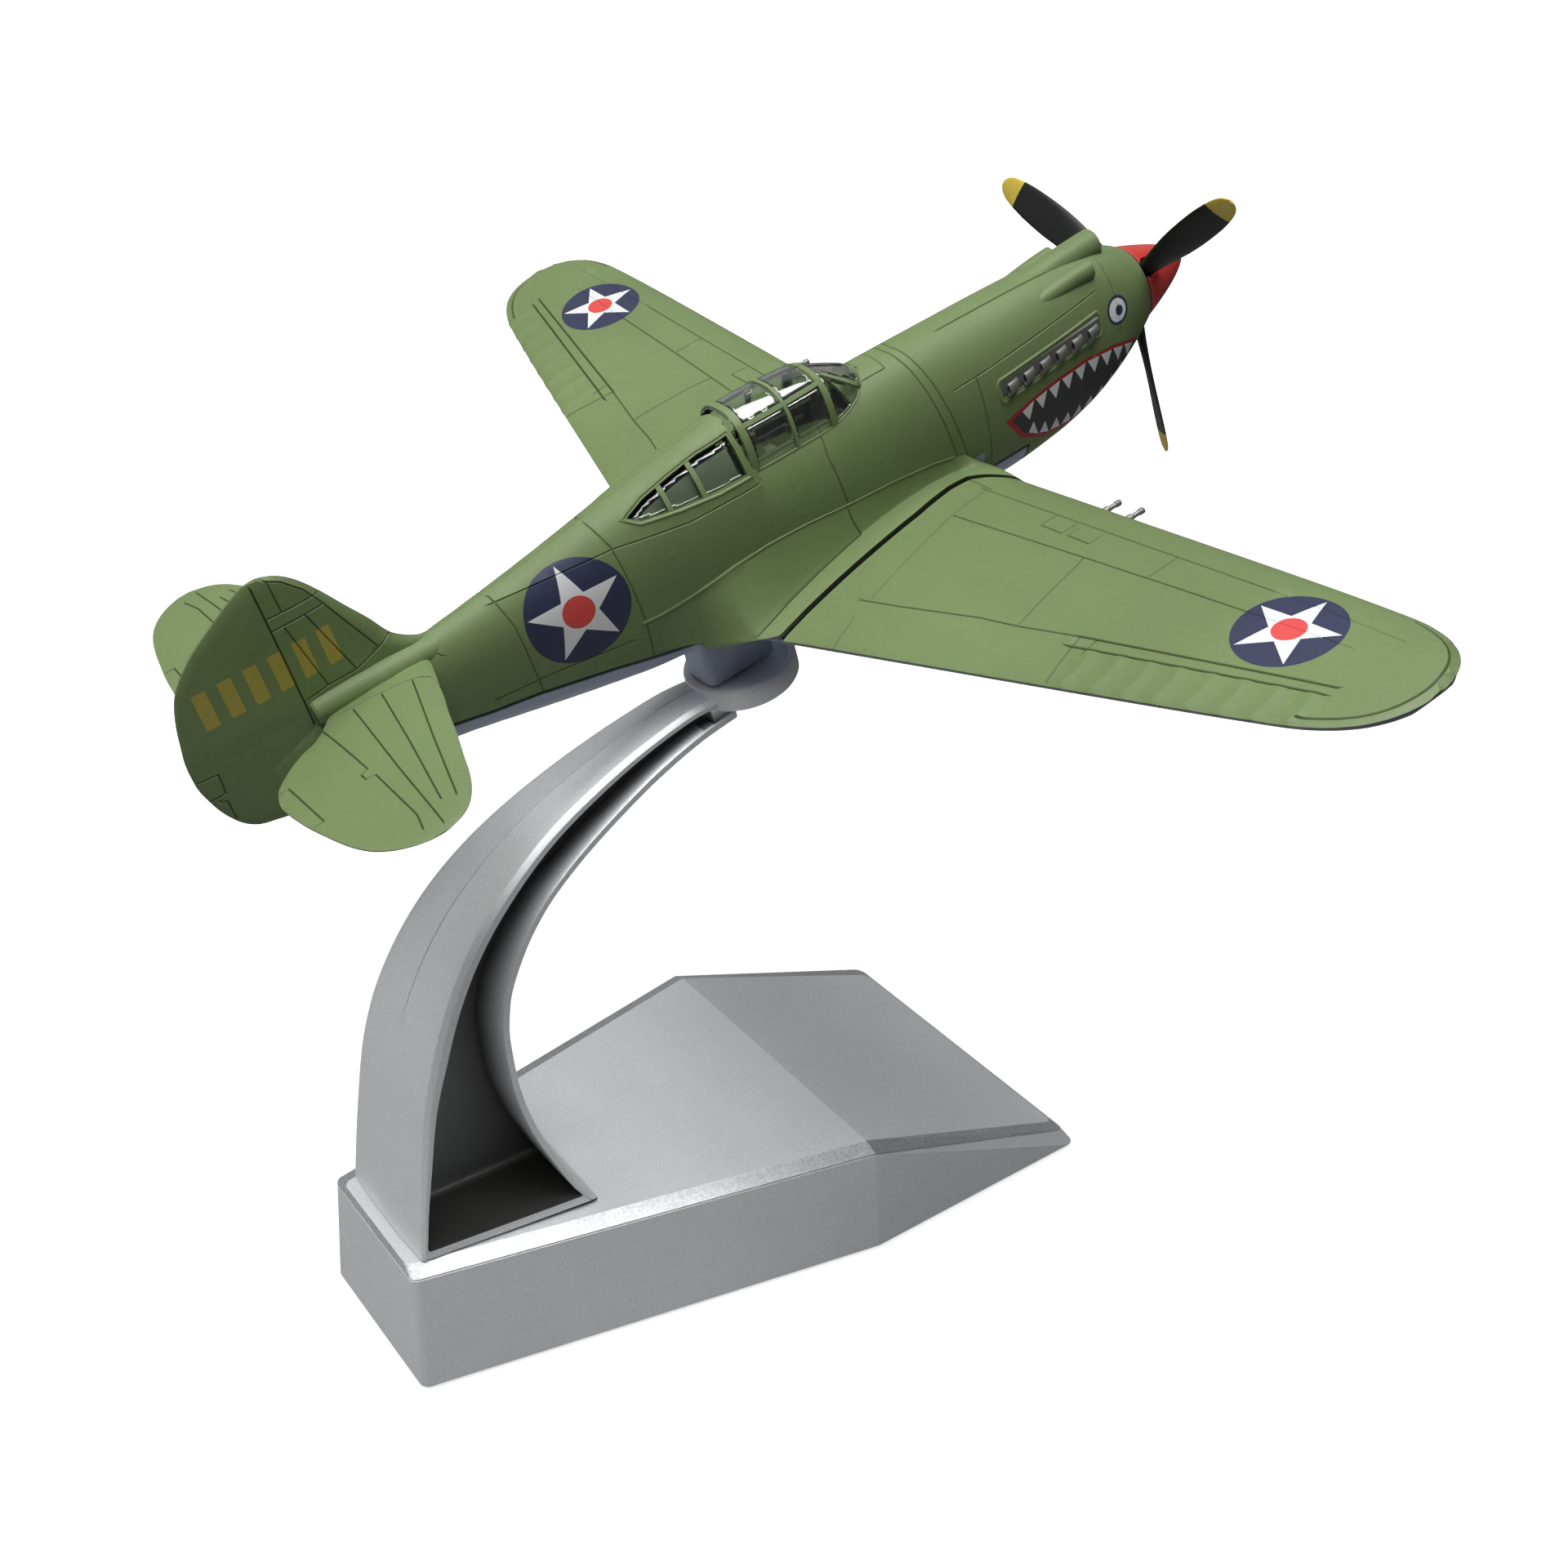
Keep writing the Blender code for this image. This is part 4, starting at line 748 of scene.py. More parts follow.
# Painted highlight: a white strip along the bottom of the wall behind the quarter windows
WINDOW_HIGHLIGHT = (
    (61.9, 6.6), (61.9, 7.3), (63.4, 7.5), (65.2, 7.2), (68.4, 7.35), (71.4, 7.5), (75.8, 8.2), (75.8, 7.4),
    (70.6, 6.8), (66.0, 6.5),
)
UPPER_SEAM = (
    (72.8, -10.25), (76.6, -9.2), (83.6, -7.4), (92.4, -5.6), (97.5, -4.9), (103.0, -3.8), (112.0, -3.3),
)
CHIN_SEAM = ((23.8, -12.5), (23.8, -9.0), (31.0, -9.0))
LOWER_REAR = UPPER_SEAM[:6] + ((103.0, -12.0), (72.8, -20.0))
CHIN = ((23.8, -9.0), (31.2, -9.0), (31.2, -20.0), (23.8, -20.0))
BELLY = ((31.2, -6.0), (72.8, -6.0), (72.8, -20.0), (31.2, -20.0))
FUSELAGE_SEAMS = (
    ((80.3, 9.0), (79.5, 6.6), (78.8, -1.7), (78.5, -8.4)),
    ((93.2, 7.0), (92.5, 3.8), (92.2, -1.0), (91.8, -5.6)),
    ((93.6, 6.5), (79.3, 6.3), (70.1, 5.2), (60.5, 5.4)),
    ((97.1, -3.4), (89.4, -3.8), (80.5, -4.7)),
    ((51.4, 7.2), (51.9, 4.0), (51.2, -2.1), (49.9, -8.0)),
    ((101.6, 6.1), (101.2, 5.0), (100.7, 4.4)),
    ((7.6, -1.0), (7.2, 7.0)),
    ((10.2, 4.6), (28.6, 3.4), (33.6, 3.3)),
    ((30.0, -7.6), (30.2, 3.3)),
)


def make_fuselage(looks):
    """Upper casting, chin, rear shell and belly, cut from one sheet. Returns the surface."""
    body = make_body()
    stations = np.linspace(NOSE_Y, TAIL_POST_Y, 120)
    outline = [(y, body.bottom(y)) for y in stations] + [(y, body.top(y)) for y in stations[::-1]]
    sheet = Sheet(outline, 0.75)
    fuselage_marks(body, sheet)

    shell = bend(sheet, body.at, away_from(2.0)).mirrored()
    skins = {"": "green", **ROUNDEL_LOOKS, "mouth": "mouth", "lip": "lip"}
    piece("fuselage_skin", shell.only(*skins), looks, skins, ["fuselage_upper"], rim=0.7)
    for name, mark, replaced, rim in (
        ("chin_skin", "chin", ["chin_panel"], 0.5), ("rear_belly_skin", "rear", ["rear_belly_shell"], 0.5),
        ("belly_skin", "belly", [], 0.4),
    ):
        piece(name, shell.only(mark), looks, {mark: "grey"}, replaced, rim=rim)
    return body


# ---------------------------------------------------------------- wings

def split_height(x, y):
    """Height of the joint face between the upper skins and the underside."""
    return WING_Z + DIHEDRAL_SLOPE * np.abs(x) + INCIDENCE_SLOPE * (y - INCIDENCE_MIDDLE)


def leading(x):
    """y of the wing's leading edge."""
    return curve(WING_ROWS, 1, x)


def trailing(x):
    """y of the wing's trailing edge."""
    return curve(WING_ROWS, 2, x)


def foil(part):
    """Thickness along the chord as a share of the greatest thickness."""
    part = np.clip(part, 0, 1)
    rise = 0.2969 * np.sqrt(part) - 0.126 * part
    return 10 * (rise - 0.3516 * part**2 + 0.2843 * part**3 - 0.1015 * part**4)


def wing_thickness(x):
    outboard = np.maximum(x - TIP_START, 0.0) / (SEMI_SPAN + 0.1 - TIP_START)
    return (ROOT_THICKNESS - THICKNESS_TAPER * x) * np.sqrt(np.maximum(1 - outboard**3, 0.0))


def wing_skin(x, y, upper):
    """Height of the wing's upper or lower skin."""
    front, back = leading(x), trailing(x)
    part = (y - front) / np.maximum(back - front, 0.2)
    rim = np.minimum(np.minimum(y - front, back - y), np.minimum(SEMI_SPAN - x, 0.6)) / 0.6
    edge = EDGE_HALF * (0.35 + 0.65 * np.sqrt(np.clip(rim, 0, 1)))
    if upper:
        return split_height(x, y) + edge + 0.58 * wing_thickness(x) * foil(part)
    return split_height(x, y) - GAP - edge - 0.42 * wing_thickness(x) * foil(part)


def planform(inset, root):
    """Outline of one wing in plan, with root as the inboard border from rear to front."""
    inner_front, inner_rear = root[-1][0], root[0][0]
    outer = SEMI_SPAN - inset - 0.1 - (21.2 - inset) * np.linspace(1, 0, 60) ** 2
    spans = np.concatenate([np.linspace(inner_front, 58.0, 30)[1:], outer])
    front = [(float(x), float(leading(x)) + inset) for x in spans]
    back_spans = [x for x in spans[::-1] if x > inner_rear + 0.3]
    back = [(float(x), float(trailing(x)) - inset) for x in back_spans]
    return front + back + root


ROUNDEL = (62.6, 41.0)
ROUNDEL_RADIUS = 5.6
WING_SEAMS = (
    ((12.8, 36.7), (56.9, 36.8)),
    ((14.3, 42.7), (34.0, 41.7), (47.8, 41.1), (57.0, 40.8)),
    ((43.9, 36.8), (43.9, 41.2)),
    ((8.9, 35.9), (13.2, 36.2)),
    ((13.3, 36.7), (14.3, 42.7), (17.4, 57.2)),
    ((16.9, 58.3), (21.7, 57.1), (32.1, 54.2), (36.9, 53.3), (44.5, 51.4)),
    ((37.0, 53.2), (35.4, 43.2), (34.9, 41.7)),
    ((20.1, 66.0), (18.3, 61.1)),
    ((25.5, 37.7), (25.5, 39.3), (29.0, 39.4), (29.0, 37.8)),
    ((29.9, 37.8), (29.9, 39.4), (33.4, 39.5), (33.4, 37.9)),
    ((44.5, 51.4), (46.2, 57.7)),
    ((46.6, 53.0), (46.6, 51.2)),
)
FAINT_SEAMS = (((56.9, 36.8), (73.0, 37.2)), ((57.0, 40.8), (69.6, 40.4)))
RIB_PITCH = 3.35
AILERON_SEAMS = (((44.4, 51.4), (72.3, 45.35)), ((44.3, 53.0), (71.8, 46.65)))


def wing_sheet(upper):
    """Upper or lower skin of one wing in plan, with its seams, ribs and roundel."""
    if upper:
        root = [(row[1] + 0.65, row[0]) for row in FILLET_ROWS[9::-1]]
        inset = 0.0
    else:
        root = [(5.0, 69.0), (5.0, 31.5)]
        inset = 0.5
    sheet = Sheet(planform(inset, root), 0.85)
    for share in (0.004, 0.015, 0.035, 0.07):
        sheet.chains.append(([
            (float(x), float(leading(x) + inset + share * (trailing(x) - leading(x) - 2 * inset)))
            for x in np.linspace(root[-1][0] + 0.8, 76.0, 95)
        ], False))
    if upper:
        for line in WING_SEAMS:
            sheet.seam(line)
        for line in FAINT_SEAMS:
            sheet.seam(line, half=0.1, depth=0.06)
    for line in AILERON_SEAMS:
        sheet.seam(line, half=0.17, depth=0.18)
    if upper:
        for x in np.arange(47.5, 71.0, RIB_PITCH):
            front, back = 53.5 - (x - 44.3) * 0.23, float(trailing(x)) - 0.5
            rib = [(x, front), (x + 0.5, (front + back) / 2), (x + 0.3, back)]
            sheet.seam(rib, half=0.85, depth=-0.2, flat=0.1)
        rim = [(float(x), float(leading(x))) for x in np.linspace(71.5, SEMI_SPAN - 0.05, 40)]
        rim += [(float(x), float(trailing(x))) for x in np.linspace(SEMI_SPAN - 0.05, 71.6, 50)]
        sheet.seam(beside(rim, 0.95)[1:-1] + [(71.5, 50.9)], half=0.17, depth=0.16)
    roundel(sheet, ROUNDEL, ROUNDEL_RADIUS, math.radians(-90))
    return sheet


def wing_shell(upper):
    """Upper or lower skin of the port wing."""
    return bend(wing_sheet(upper), lambda x, y: np.stack([x, y, wing_skin(x, y, upper)], 1),
                toward(0, 0, 1 if upper else -1))


def make_wings(looks):
    """Green upper skins, the grey underside and a near-black filler in the joint between them, painted shade
    for the gap.
    """
    def at_joint(point, by):
        return point[0], point[1], float(split_height(point[0], point[1])) + by

    upper, lower = wing_shell(True), wing_shell(False)
    for word, shell in (("left", upper), ("right", upper.reflected())):
        piece(f"wing_upper_skin_{word}", shell, looks, {"": "green", **ROUNDEL_LOOKS},
              [f"wing_upper_{word}"], fold=lambda point: at_joint(point, 0.02))
    piece("wing_lower_skin", lower.mirrored(), looks, {"": "grey", **ROUNDEL_LOOKS},
          ["wing_underside"], fold=lambda point: at_joint(point, -0.1))
    # Painted shade: the filler in the gap is near-black.
    core = planform(0.75, [(5.0, 68.5), (5.0, 31.8)])
    filler = loft([[at_joint(point, by) for point in core] for by in (-0.28, -0.03)], caps=False)
    piece("wing_joint_painted_shade", filler.mirrored(), looks, {"": "dark"}, [])


def fillet_point(y, v):
    """Fairing between body and wing: v runs up from the wing seam, over a flat lip to 3 and a wall to 10."""
    stations, *columns = zip(*FILLET_ROWS)
    outer, foot, crease = (np.interp(y, stations, column) for column in columns)
    aft = np.clip(y - FILLET_CORNER, 0, None)
    on_wing = np.minimum(y, FILLET_CORNER)
    low = np.maximum(wing_skin(outer, on_wing, True), split_height(outer, on_wing) + 0.4) + 0.25 - 0.12 * aft
    corner = np.maximum(wing_skin(foot, on_wing, True), low) + 0.2
    behind = np.clip((y - FILLET_NOTCH) / (FILLET_REAR - FILLET_NOTCH), 0, 1)
    low, corner = low + 2.2 * behind, corner + 2.2 * behind
    side = curve(STATIONS, 1, y) - 0.12
    lip, rise = np.clip(v / 3, 0, 1), np.clip((v - 3) / 7, 0, 1)
    hollow = 1.25 + 1.0 * np.clip((50 - y) / 14, 0, 1)
    x = outer + (foot - outer) * lip + (side - foot) * rise
    z = low + (corner - low) * lip + (crease - corner) * rise**hollow
    return np.stack([x, y, z], -1)


def make_fillets(looks):
    """Fairings between the body and the wings, with the notch behind each wing's root."""
    outline = [(31.0, 0.0), (FILLET_NOTCH, 0.0), (FILLET_NOTCH, 3.6), (FILLET_REAR, 3.6), (FILLET_REAR, 10.0),
               (31.0, 10.0)]
    sheet = Sheet(outline, 0.6)
    sheet.seam([(51.0, 3.0), (68.6, 3.0)], half=0.13, depth=0.13)
    sheet.seam([(50.9, 3.0), (51.2, 6.0), (51.4, 9.6)], half=0.13, depth=0.13)
    sheet.seam([(36.0, 9.75), (79.0, 9.75)], half=0.24, depth=-0.16)
    shell = bend(sheet, fillet_point, toward(1.0, 0.0, 0.6))

    def turn_in(point):
        inward = math.copysign(1.0, point[0])
        if point[1] > FILLET_CORNER - 0.05:
            return point[0] - 2.5 * inward, point[1] - 0.1, point[2] + 0.1
        return point[0] - 0.3 * inward, point[1], point[2] - 0.9

    piece("wing_root_fillets", shell.mirrored(), looks, {"": "green"}, [], fold=turn_in)


# ---------------------------------------------------------------- tail

FIN_PROFILE = ((0.0, 0.1), (0.02, 0.42), (0.06, 0.75), (0.25, 1.0), (0.55, 0.9), (0.985, 0.36), (1.0, 0.15))
FIN_SEAMS = (
    ((113.9, 20.7), (112.4, 19.8), (110.7, 17.9), (109.7, 16.1), (106.1, 8.3)),
    ((113.7, 20.6), (113.6, 17.0)),
    ((114.9, 17.0), (109.7, 16.8)),
    ((115.3, 15.6), (109.4, 15.5)),
    ((111.6, 15.5), (109.1, 7.4)),
    ((114.0, 15.4), (112.4, 7.4)),
    ((115.2, 6.9), (112.4, 7.3), (109.1, 7.3), (106.1, 8.1), (104.4, 8.7)),
    ((128.1, 4.4), (126.1, 4.2), (126.2, 1.8), (127.5, 1.8)),
    ((127.0, 1.2), (126.4, 0.9), (126.4, -1.4)),
)
TAIL_SEAMS = (
    ((1.9, 115.9), (3.2, 111.8), (4.4, 106.0), (4.9, 104.5), (5.6, 103.9)),
    ((4.9, 105.3), (16.3, 108.7), (26.9, 111.7)),
    ((4.2, 108.6), (14.6, 110.6), (26.4, 113.1)),
    ((3.8, 111.8), (18.4, 113.5), (29.6, 114.6)),
    ((1.9, 115.6), (15.3, 115.6), (15.6, 116.5), (16.8, 116.5), (16.9, 115.5), (26.6, 115.8), (29.0, 116.4)),
    ((10.5, 123.0), (10.5, 122.3), (19.0, 122.2), (19.0, 123.1)),
)


def tail_foil(part):
    """Half thickness along a tail surface's chord as a share of the greatest."""
    return np.interp(np.clip(part, 0, 1), *zip(*FIN_PROFILE))


def fin_half(y, z):
    """Half thickness of the fin and rudder."""
    front, back, half = (curve(FIN_ROWS, column, z) for column in (1, 2, 3))
    return half * tail_foil((y - front) / (back - front))


def make_fin(looks):
    """Fin and rudder in one, with six blank bars in place of the figures."""
    heights = np.linspace(FIN_ROWS[0][0], FIN_ROWS[-1][0], 64)
    front = [(float(curve(FIN_ROWS, 1, z)) + 0.01, float(z)) for z in heights]
    back = [(float(curve(FIN_ROWS, 2, z)) - 0.01, float(z)) for z in heights[::-1]]
    sheet = Sheet(front + back, 0.6)
    sheet.seam([(115.4, 20.6), (115.3, 3.0), (115.0, -1.8)], half=0.15, depth=0.16)
    for line in FIN_SEAMS:
        sheet.seam(line, half=0.12, depth=0.12)
    for n in range(6):
        middle = 110.6 + 2.75 * n
        sheet.mark([(middle - 0.75, 9.2), (middle + 0.75, 9.2), (middle + 0.75, 13.4), (middle - 0.75, 13.4)],
                   "ochre")
    shell = bend(sheet, lambda y, z: np.stack([fin_half(y, z), y, z], 1), toward(1, 0, 0))

    def to_middle(point):
        return 0.0, point[1] + (0.12 if point[1] > 115 else -0.12), point[2]

    piece("fin_and_rudder", shell.mirrored(), looks, {"": "green", "ochre": "ochre"}, [],
          fold=to_middle)


def make_tail_fairing(looks):
    """Rounded end of the body on both sides of the fin, stopping short of the rudder."""
    rings = []
    for y, half, low, top in TAIL_FAIRING:
        middle, rise = (top + low) / 2, (top - low) / 2
        rings.append([(half * math.cos(t), y, middle + rise * math.sin(t)) for t in turns(40)])
    piece("tail_fairing", loft(rings), looks, {"": "green"}, [])


def tail_half(x, y):
    """Half thickness of the tailplane, thinning to its rounded tip."""
    front, back = curve(TAIL_ROWS, 1, x), curve(TAIL_ROWS, 2, x)
    tip = np.sqrt(1 - np.clip((x - 25.0) / 6.0, 0, 1) ** 2)
    return (0.85 - 0.014 * x) * tip * tail_foil((y - front) / (back - front))


def tailplane_half(face):
    """Upper (1) or lower (-1) skin of the port tailplane."""
    spans = 30.9 - 29.55 * np.linspace(1, 0, 60) ** 1.5
    front = [(float(x), float(curve(TAIL_ROWS, 1, x)) + 0.01) for x in spans]
    back = [(float(x), float(curve(TAIL_ROWS, 2, x)) - 0.01) for x in spans[::-1]]
    sheet = Sheet(front + back, 0.65)
    for line in TAIL_SEAMS:
        sheet.seam(line, half=0.12, depth=0.12)

    def surface(x, y):
        return np.stack([x, y, TAIL_Z + TAIL_SLOPE * x + face * tail_half(x, y)], 1)

    return bend(sheet, surface, toward(0, 0, face))


def make_tailplanes(looks):
    """Both tailplanes, each from an upper and a lower skin."""
    def to_middle(point):
        return point[0], point[1], TAIL_Z + TAIL_SLOPE * abs(point[0])

    port = joined(tailplane_half(1), tailplane_half(-1))
    for word, shell in (("left", port), ("right", port.reflected())):
        piece(f"tailplane_skin_{word}", shell, looks, {"": "green"}, [f"tailplane_{word}"],
              fold=to_middle)


# ---------------------------------------------------------------- canopy and cockpit

def canopy_section(y):
    """Left half of the canopy's outer section at y, from the sill to the top."""
    half, sill, top = (float(curve(CANOPY_ROWS, column, y)) for column in (1, 2, 3))
    ring = []
    for angle in np.linspace(0, math.pi / 2, 61):
        across, rise = math.cos(angle), math.sin(angle)
        ring.append((half * abs(across) ** 0.8, y, sill + (top - sill) * rise**0.72))
    return ring


def make_canopy(looks):
    """Clear windscreen and hood in one, with its painted frame standing proud as a separate skin."""
    front, bow, rear = 42.62, 49.3, 61.0
    skin = Sections(np.linspace(front, rear, 72), canopy_section, 0)
    stations = np.linspace(front, rear, 40)
    outline = [(y, 0.0) for y in stations] + [(y, skin.top(y)) for y in stations[::-1]]
    sheet = Sheet(outline, 0.45)

    def strip(line, half):
        """A painted strip, standing a little proud of the glass."""
        line = resample(line, 0.4)
        sheet.seam(line, half=half, depth=-0.14, flat=half - 0.05)
        left, right = beside(line, half), beside(line, -half)
        sheet.mark(left + right[::-1], "frame")

    rail = [(y, skin.across(y, 11.35, 2)) for y in np.linspace(bow, rear, 24)]
    sill = [(y, 0.0) for y in np.linspace(front, rear, 40)]
    pillar = [(y, skin.across(y, z, 2)) for y, z in ((44.0, 8.4), (46.0, 9.9), (48.4, 11.6))]
    for line, half in (
        (sill, 0.6), (skin.hoop(bow, 0.0), 0.45), (skin.hoop(rear - 0.5, 0.0), 0.48),
        (skin.hoop(54.6, 0.0), 0.26), (rail, 0.3), (pillar, 0.22),
    ):
        strip(line, half)
    sheet.mark([(front, -0.2), (43.7, -0.2), (43.7, 9.0), (front, 9.0)], "frame")
    shell = bend(sheet, skin.at, away_from(-6.0)).mirrored()
    thicken(piece("canopy_glass", shell.only(""), looks, {"": "glass"}, ["canopy"]), 0.0003)
    piece("canopy_frame", shell.only("frame"), looks, {"frame": "green"}, [], rim=0.4)


def make_quarter_windows(looks, body):
    """Recessed clear panes behind the hood, with their bars, over an inner wall whose grey-green stands in
    for the panes' dim reflection, with a painted highlight along its lower edge.
    """
    outline = body.area(QUARTER_WINDOW, step=0.4)

    def inset(sheet, depth):
        """Bends a sheet to that depth below the fuselage's surface."""
        def surface(u, v):
            points = body.at(u, v)
            away = away_from(-0.5)(points)
            return points - away / np.linalg.norm(away, axis=1, keepdims=True) * depth
        return bend(sheet, surface, away_from(0.0))

    pane = inset(Sheet(beside(outline, -0.3, closed=True), 0.4), 0.3)
    for word, shell in (("left", pane), ("right", pane.reflected())):
        thicken(piece(f"quarter_pane_{word}", shell, looks, {"": "glass"},
                      [f"quarter_window_{word}"]), 0.00025)
    back = Sheet(beside(outline, -0.6, closed=True), 0.8)
    # Painted highlight: a white strip along the wall's lower edge.
    back.mark(body.area(WINDOW_HIGHLIGHT, step=0.4), "edge")
    wall = inset(back, 0.9).mirrored()
    # The wall's grey-green stands in for the panes' dim reflection.
    piece("quarter_window_lining", wall, looks, {"": "lining", "edge": "white"}, [])
    bars = []
    for y in (67.5, 71.6):
        low, high = body.across(y, 6.6, 2), body.across(y, 10.9 if y < 70 else 10.0, 2)
        strip = [(y - 0.3, low), (y + 0.3, low), (y + 0.3, high), (y - 0.3, high)]
        bars.append(inset(Sheet(strip, 0.4), 0.08))
    piece("quarter_window_bars", joined(*bars).mirrored(), looks, {"": "green"}, [], rim=0.25)


def box(low, high):
    """A block between two corners."""
    corners = [(x, y, z) for z in (low[2], high[2]) for x, y in (
        (low[0], low[1]), (high[0], low[1]), (high[0], high[1]), (low[0], high[1]))]
    faces = [(3, 2, 1, 0), (4, 5, 6, 7), (0, 1, 5, 4), (1, 2, 6, 5), (2, 3, 7, 6), (3, 0, 4, 7)]
    return plain(corners, faces)


def thicken(made, thickness):
    """Gives a single skin that thickness in metres, inward."""
    step = made.modifiers.new("thickness", "SOLIDIFY")
    step.thickness = thickness
    step.offset = -1.0


def rounded(made, width, segments=2, angle=25):
    """Small rounded edges, as a casting has."""
    step = made.modifiers.new("edges", "BEVEL")
    step.width = width
    step.segments = segments
    step.limit_method = "ANGLE"
    step.angle_limit = math.radians(angle)
    step.harden_normals = False


def turned(profile, sides, centre=(0.0, 0.0), axis="y"):
    """A solid of revolution from (radius, distance) pairs along the axis."""
    rings = []
    for radius, far in profile:
        ring = []
        for t in turns(sides):
            a, b = centre[0] + radius * math.cos(t), centre[1] + radius * math.sin(t)
            ring.append((a, far, b) if axis == "y" else (a, b, far))
        rings.append(ring)
    return loft(rings)


def make_cockpit_trim(looks):
    """Sill edges, a head rest and side consoles inside the clear hood."""
    parts = [box((x - 0.35, 49.0, 4.6), (x + 0.35, 57.5, 5.4)) for x in (-2.6, 2.6)]
    parts.append(box((-1.1, 57.9, 8.2), (1.1, 58.7, 9.9)))
    rounded(piece("cockpit_trim", joined(*parts), looks, {"": "dark"}, []), 0.0001)


# ---------------------------------------------------------------- nose and engine

def make_nose(looks):
    """Rounded front lip of the cowling behind the spinner, with a near-black bulkhead inside it as painted
    shade.
    """
    nose = half_section(NOSE_Y)
    ring = nose + [(-x, y, z) for x, y, z in nose[::-1][1:-1]]
    inner = [(x * 0.9, y, z * 0.9) for x, y, z in ring]
    deep = [(x * 0.89, y + 3.9, z * 0.89) for x, y, z in ring]
    lip = [(x * 0.95, y - 0.16, z * 0.95) for x, y, z in ring]
    piece("nose_ring", loft([ring, lip, inner, deep], caps=False), looks, {"": "green"}, [])
    # Painted shade: a near-black disc closes the inside of the cowling.
    back = turned([(4.9, 5.2), (4.9, 5.3)], 40)
    piece("nose_bulkhead_painted_shade", back, looks, {"": "dark"}, [])


def fairing(x, z, radius, front, back):
    """A rounded intake fairing with a hollow mouth, sinking into the cowling towards the rear."""
    def ring(x, y, z, size):
        return [(x + size * math.cos(t), y, z + size * math.sin(t)) for t in turns(40)]

    rings = [ring(x, front + depth, z, radius * size) for depth, size in
             ((2.2, 0.66), (0.9, 0.7), (0.1, 0.76), (0.0, 0.8), (0.0, 0.96), (0.06, 1.0))]
    for part in np.linspace(0.02, 1.0, 22):
        y, sink = front + (back - front) * part, 2.2 * part**1.6
        rings.append(ring(x * (1 - 0.12 * part), y, z - sink, radius * (1 - 0.1 * part)))
    return loft(rings)


def make_scoops(looks):
    """Central intake on top of the cowling with a smaller one on each side."""
    shells = [fairing(0.0, 7.6, 1.9, 5.5, 27.0)]
    shells += [fairing(x, 6.75, 1.25, 9.2, 25.0) for x in (-3.3, 3.3)]
    piece("cowling_scoops", joined(*shells), looks, {"": "green"}, [])
    # Painted shade: near-black discs deep in the intakes' mouths.
    throats = [turned([(1.3, 7.4), (1.3, 7.5)], 24, (0.0, 7.6))]
    throats += [turned([(1.0, 11.1), (1.0, 11.2)], 24, (x, 6.6)) for x in (-3.3, 3.3)]
    piece("scoop_throats_painted_shade", joined(*throats), looks, {"": "dark"}, [])


# One exhaust pipe, out and back into its hollow mouth: distance aft, distance out, half width, half height
PIPE_PATH = (
    (0.2, 5.9, 0.42, 0.55), (0.35, 6.5, 0.42, 0.62), (0.8, 6.9, 0.42, 0.7), (1.6, 7.15, 0.42, 0.78),
    (2.35, 7.3, 0.42, 0.82), (2.35, 7.3, 0.3024, 0.5904), (1.45, 7.3, 0.252, 0.492),
)
# Gun barrel: radius, distance aft of the wing's leading edge
BARREL_PROFILE = (
    (0.16, -1.2), (0.2, -2.3), (0.34, -2.3), (0.38, -2.2), (0.38, -1.7), (0.3, -1.6), (0.3, -0.7),
    (0.44, -0.5), (0.46, 0.8),
)


def exhaust_height(y):
    """Height of the middle of the row of exhausts."""
    return 1.2 - (y - 11.0) / 16.4


def make_exhausts(looks):
    """Six flared ejector pipes a side on a dark strip, each with an open flattened mouth facing aft."""
    start, end, count = 11.4, 27.0, 6
    pitch = (end - start) / count
    for side, word in ((1, "left"), (-1, "right")):
        pipes = []
        for low in start + pitch * np.arange(count):
            z = exhaust_height(low + pitch / 2)
            pipes.append(loft([
                [(side * (out + wide * math.cos(t)), low + aft, z + high * math.sin(t)) for t in turns(20)]
                for aft, out, wide, high in PIPE_PATH
            ]))
        strip = box((0, start - 0.2, -0.95), (0.75, end + 0.2, 0.95))
        x, y, z = strip.points.T
        strip.points = np.stack([side * (5.75 + x), y, z + exhaust_height(y)], 1)
        strip.names[:] = "trough"
        piece(f"exhaust_pipes_{word}", joined(strip, *pipes), looks, {"": "gun", "trough": "trough"},
              [f"exhaust_{word}"])


def make_guns(looks):
    """Hollow barrels with a thicker muzzle, standing out of the leading edges."""
    for side, word in ((1, "left"), (-1, "right")):
        for x, place in ((27.1, "inner"), (30.9, "outer")):
            root = float(leading(x))
            height = float(split_height(x, root)) + 0.35
            barrel = turned([(radius, root + aft) for radius, aft in BARREL_PROFILE], 20, (side * x, height))
            piece(f"gun_barrel_{word}_{place}", barrel, looks, {"": "gun"},
                  [f"wing_gun_{word}_{place}"])


# ---------------------------------------------------------------- propeller

def blade_point(angle, radius, share, over):
    """A point of one blade: share runs from 0.5 at its leading edge to -0.5, over is its side, -1 to 1."""
    radial = np.array([math.cos(angle), 0.0, math.sin(angle)])
    ahead = np.array([-math.sin(angle), 0.0, math.cos(angle)])
    chord, thick, turn = (float(curve(BLADE_ROWS, column, radius)) for column in (1, 2, 3))
    lean = math.radians(turn)
    chordwise = ahead * math.cos(lean) + np.array([0.0, -1.0, 0.0]) * math.sin(lean)
    across = np.cross(radial, chordwise)
    return radial * radius + chordwise * chord * share + across * thick * 0.5 * over


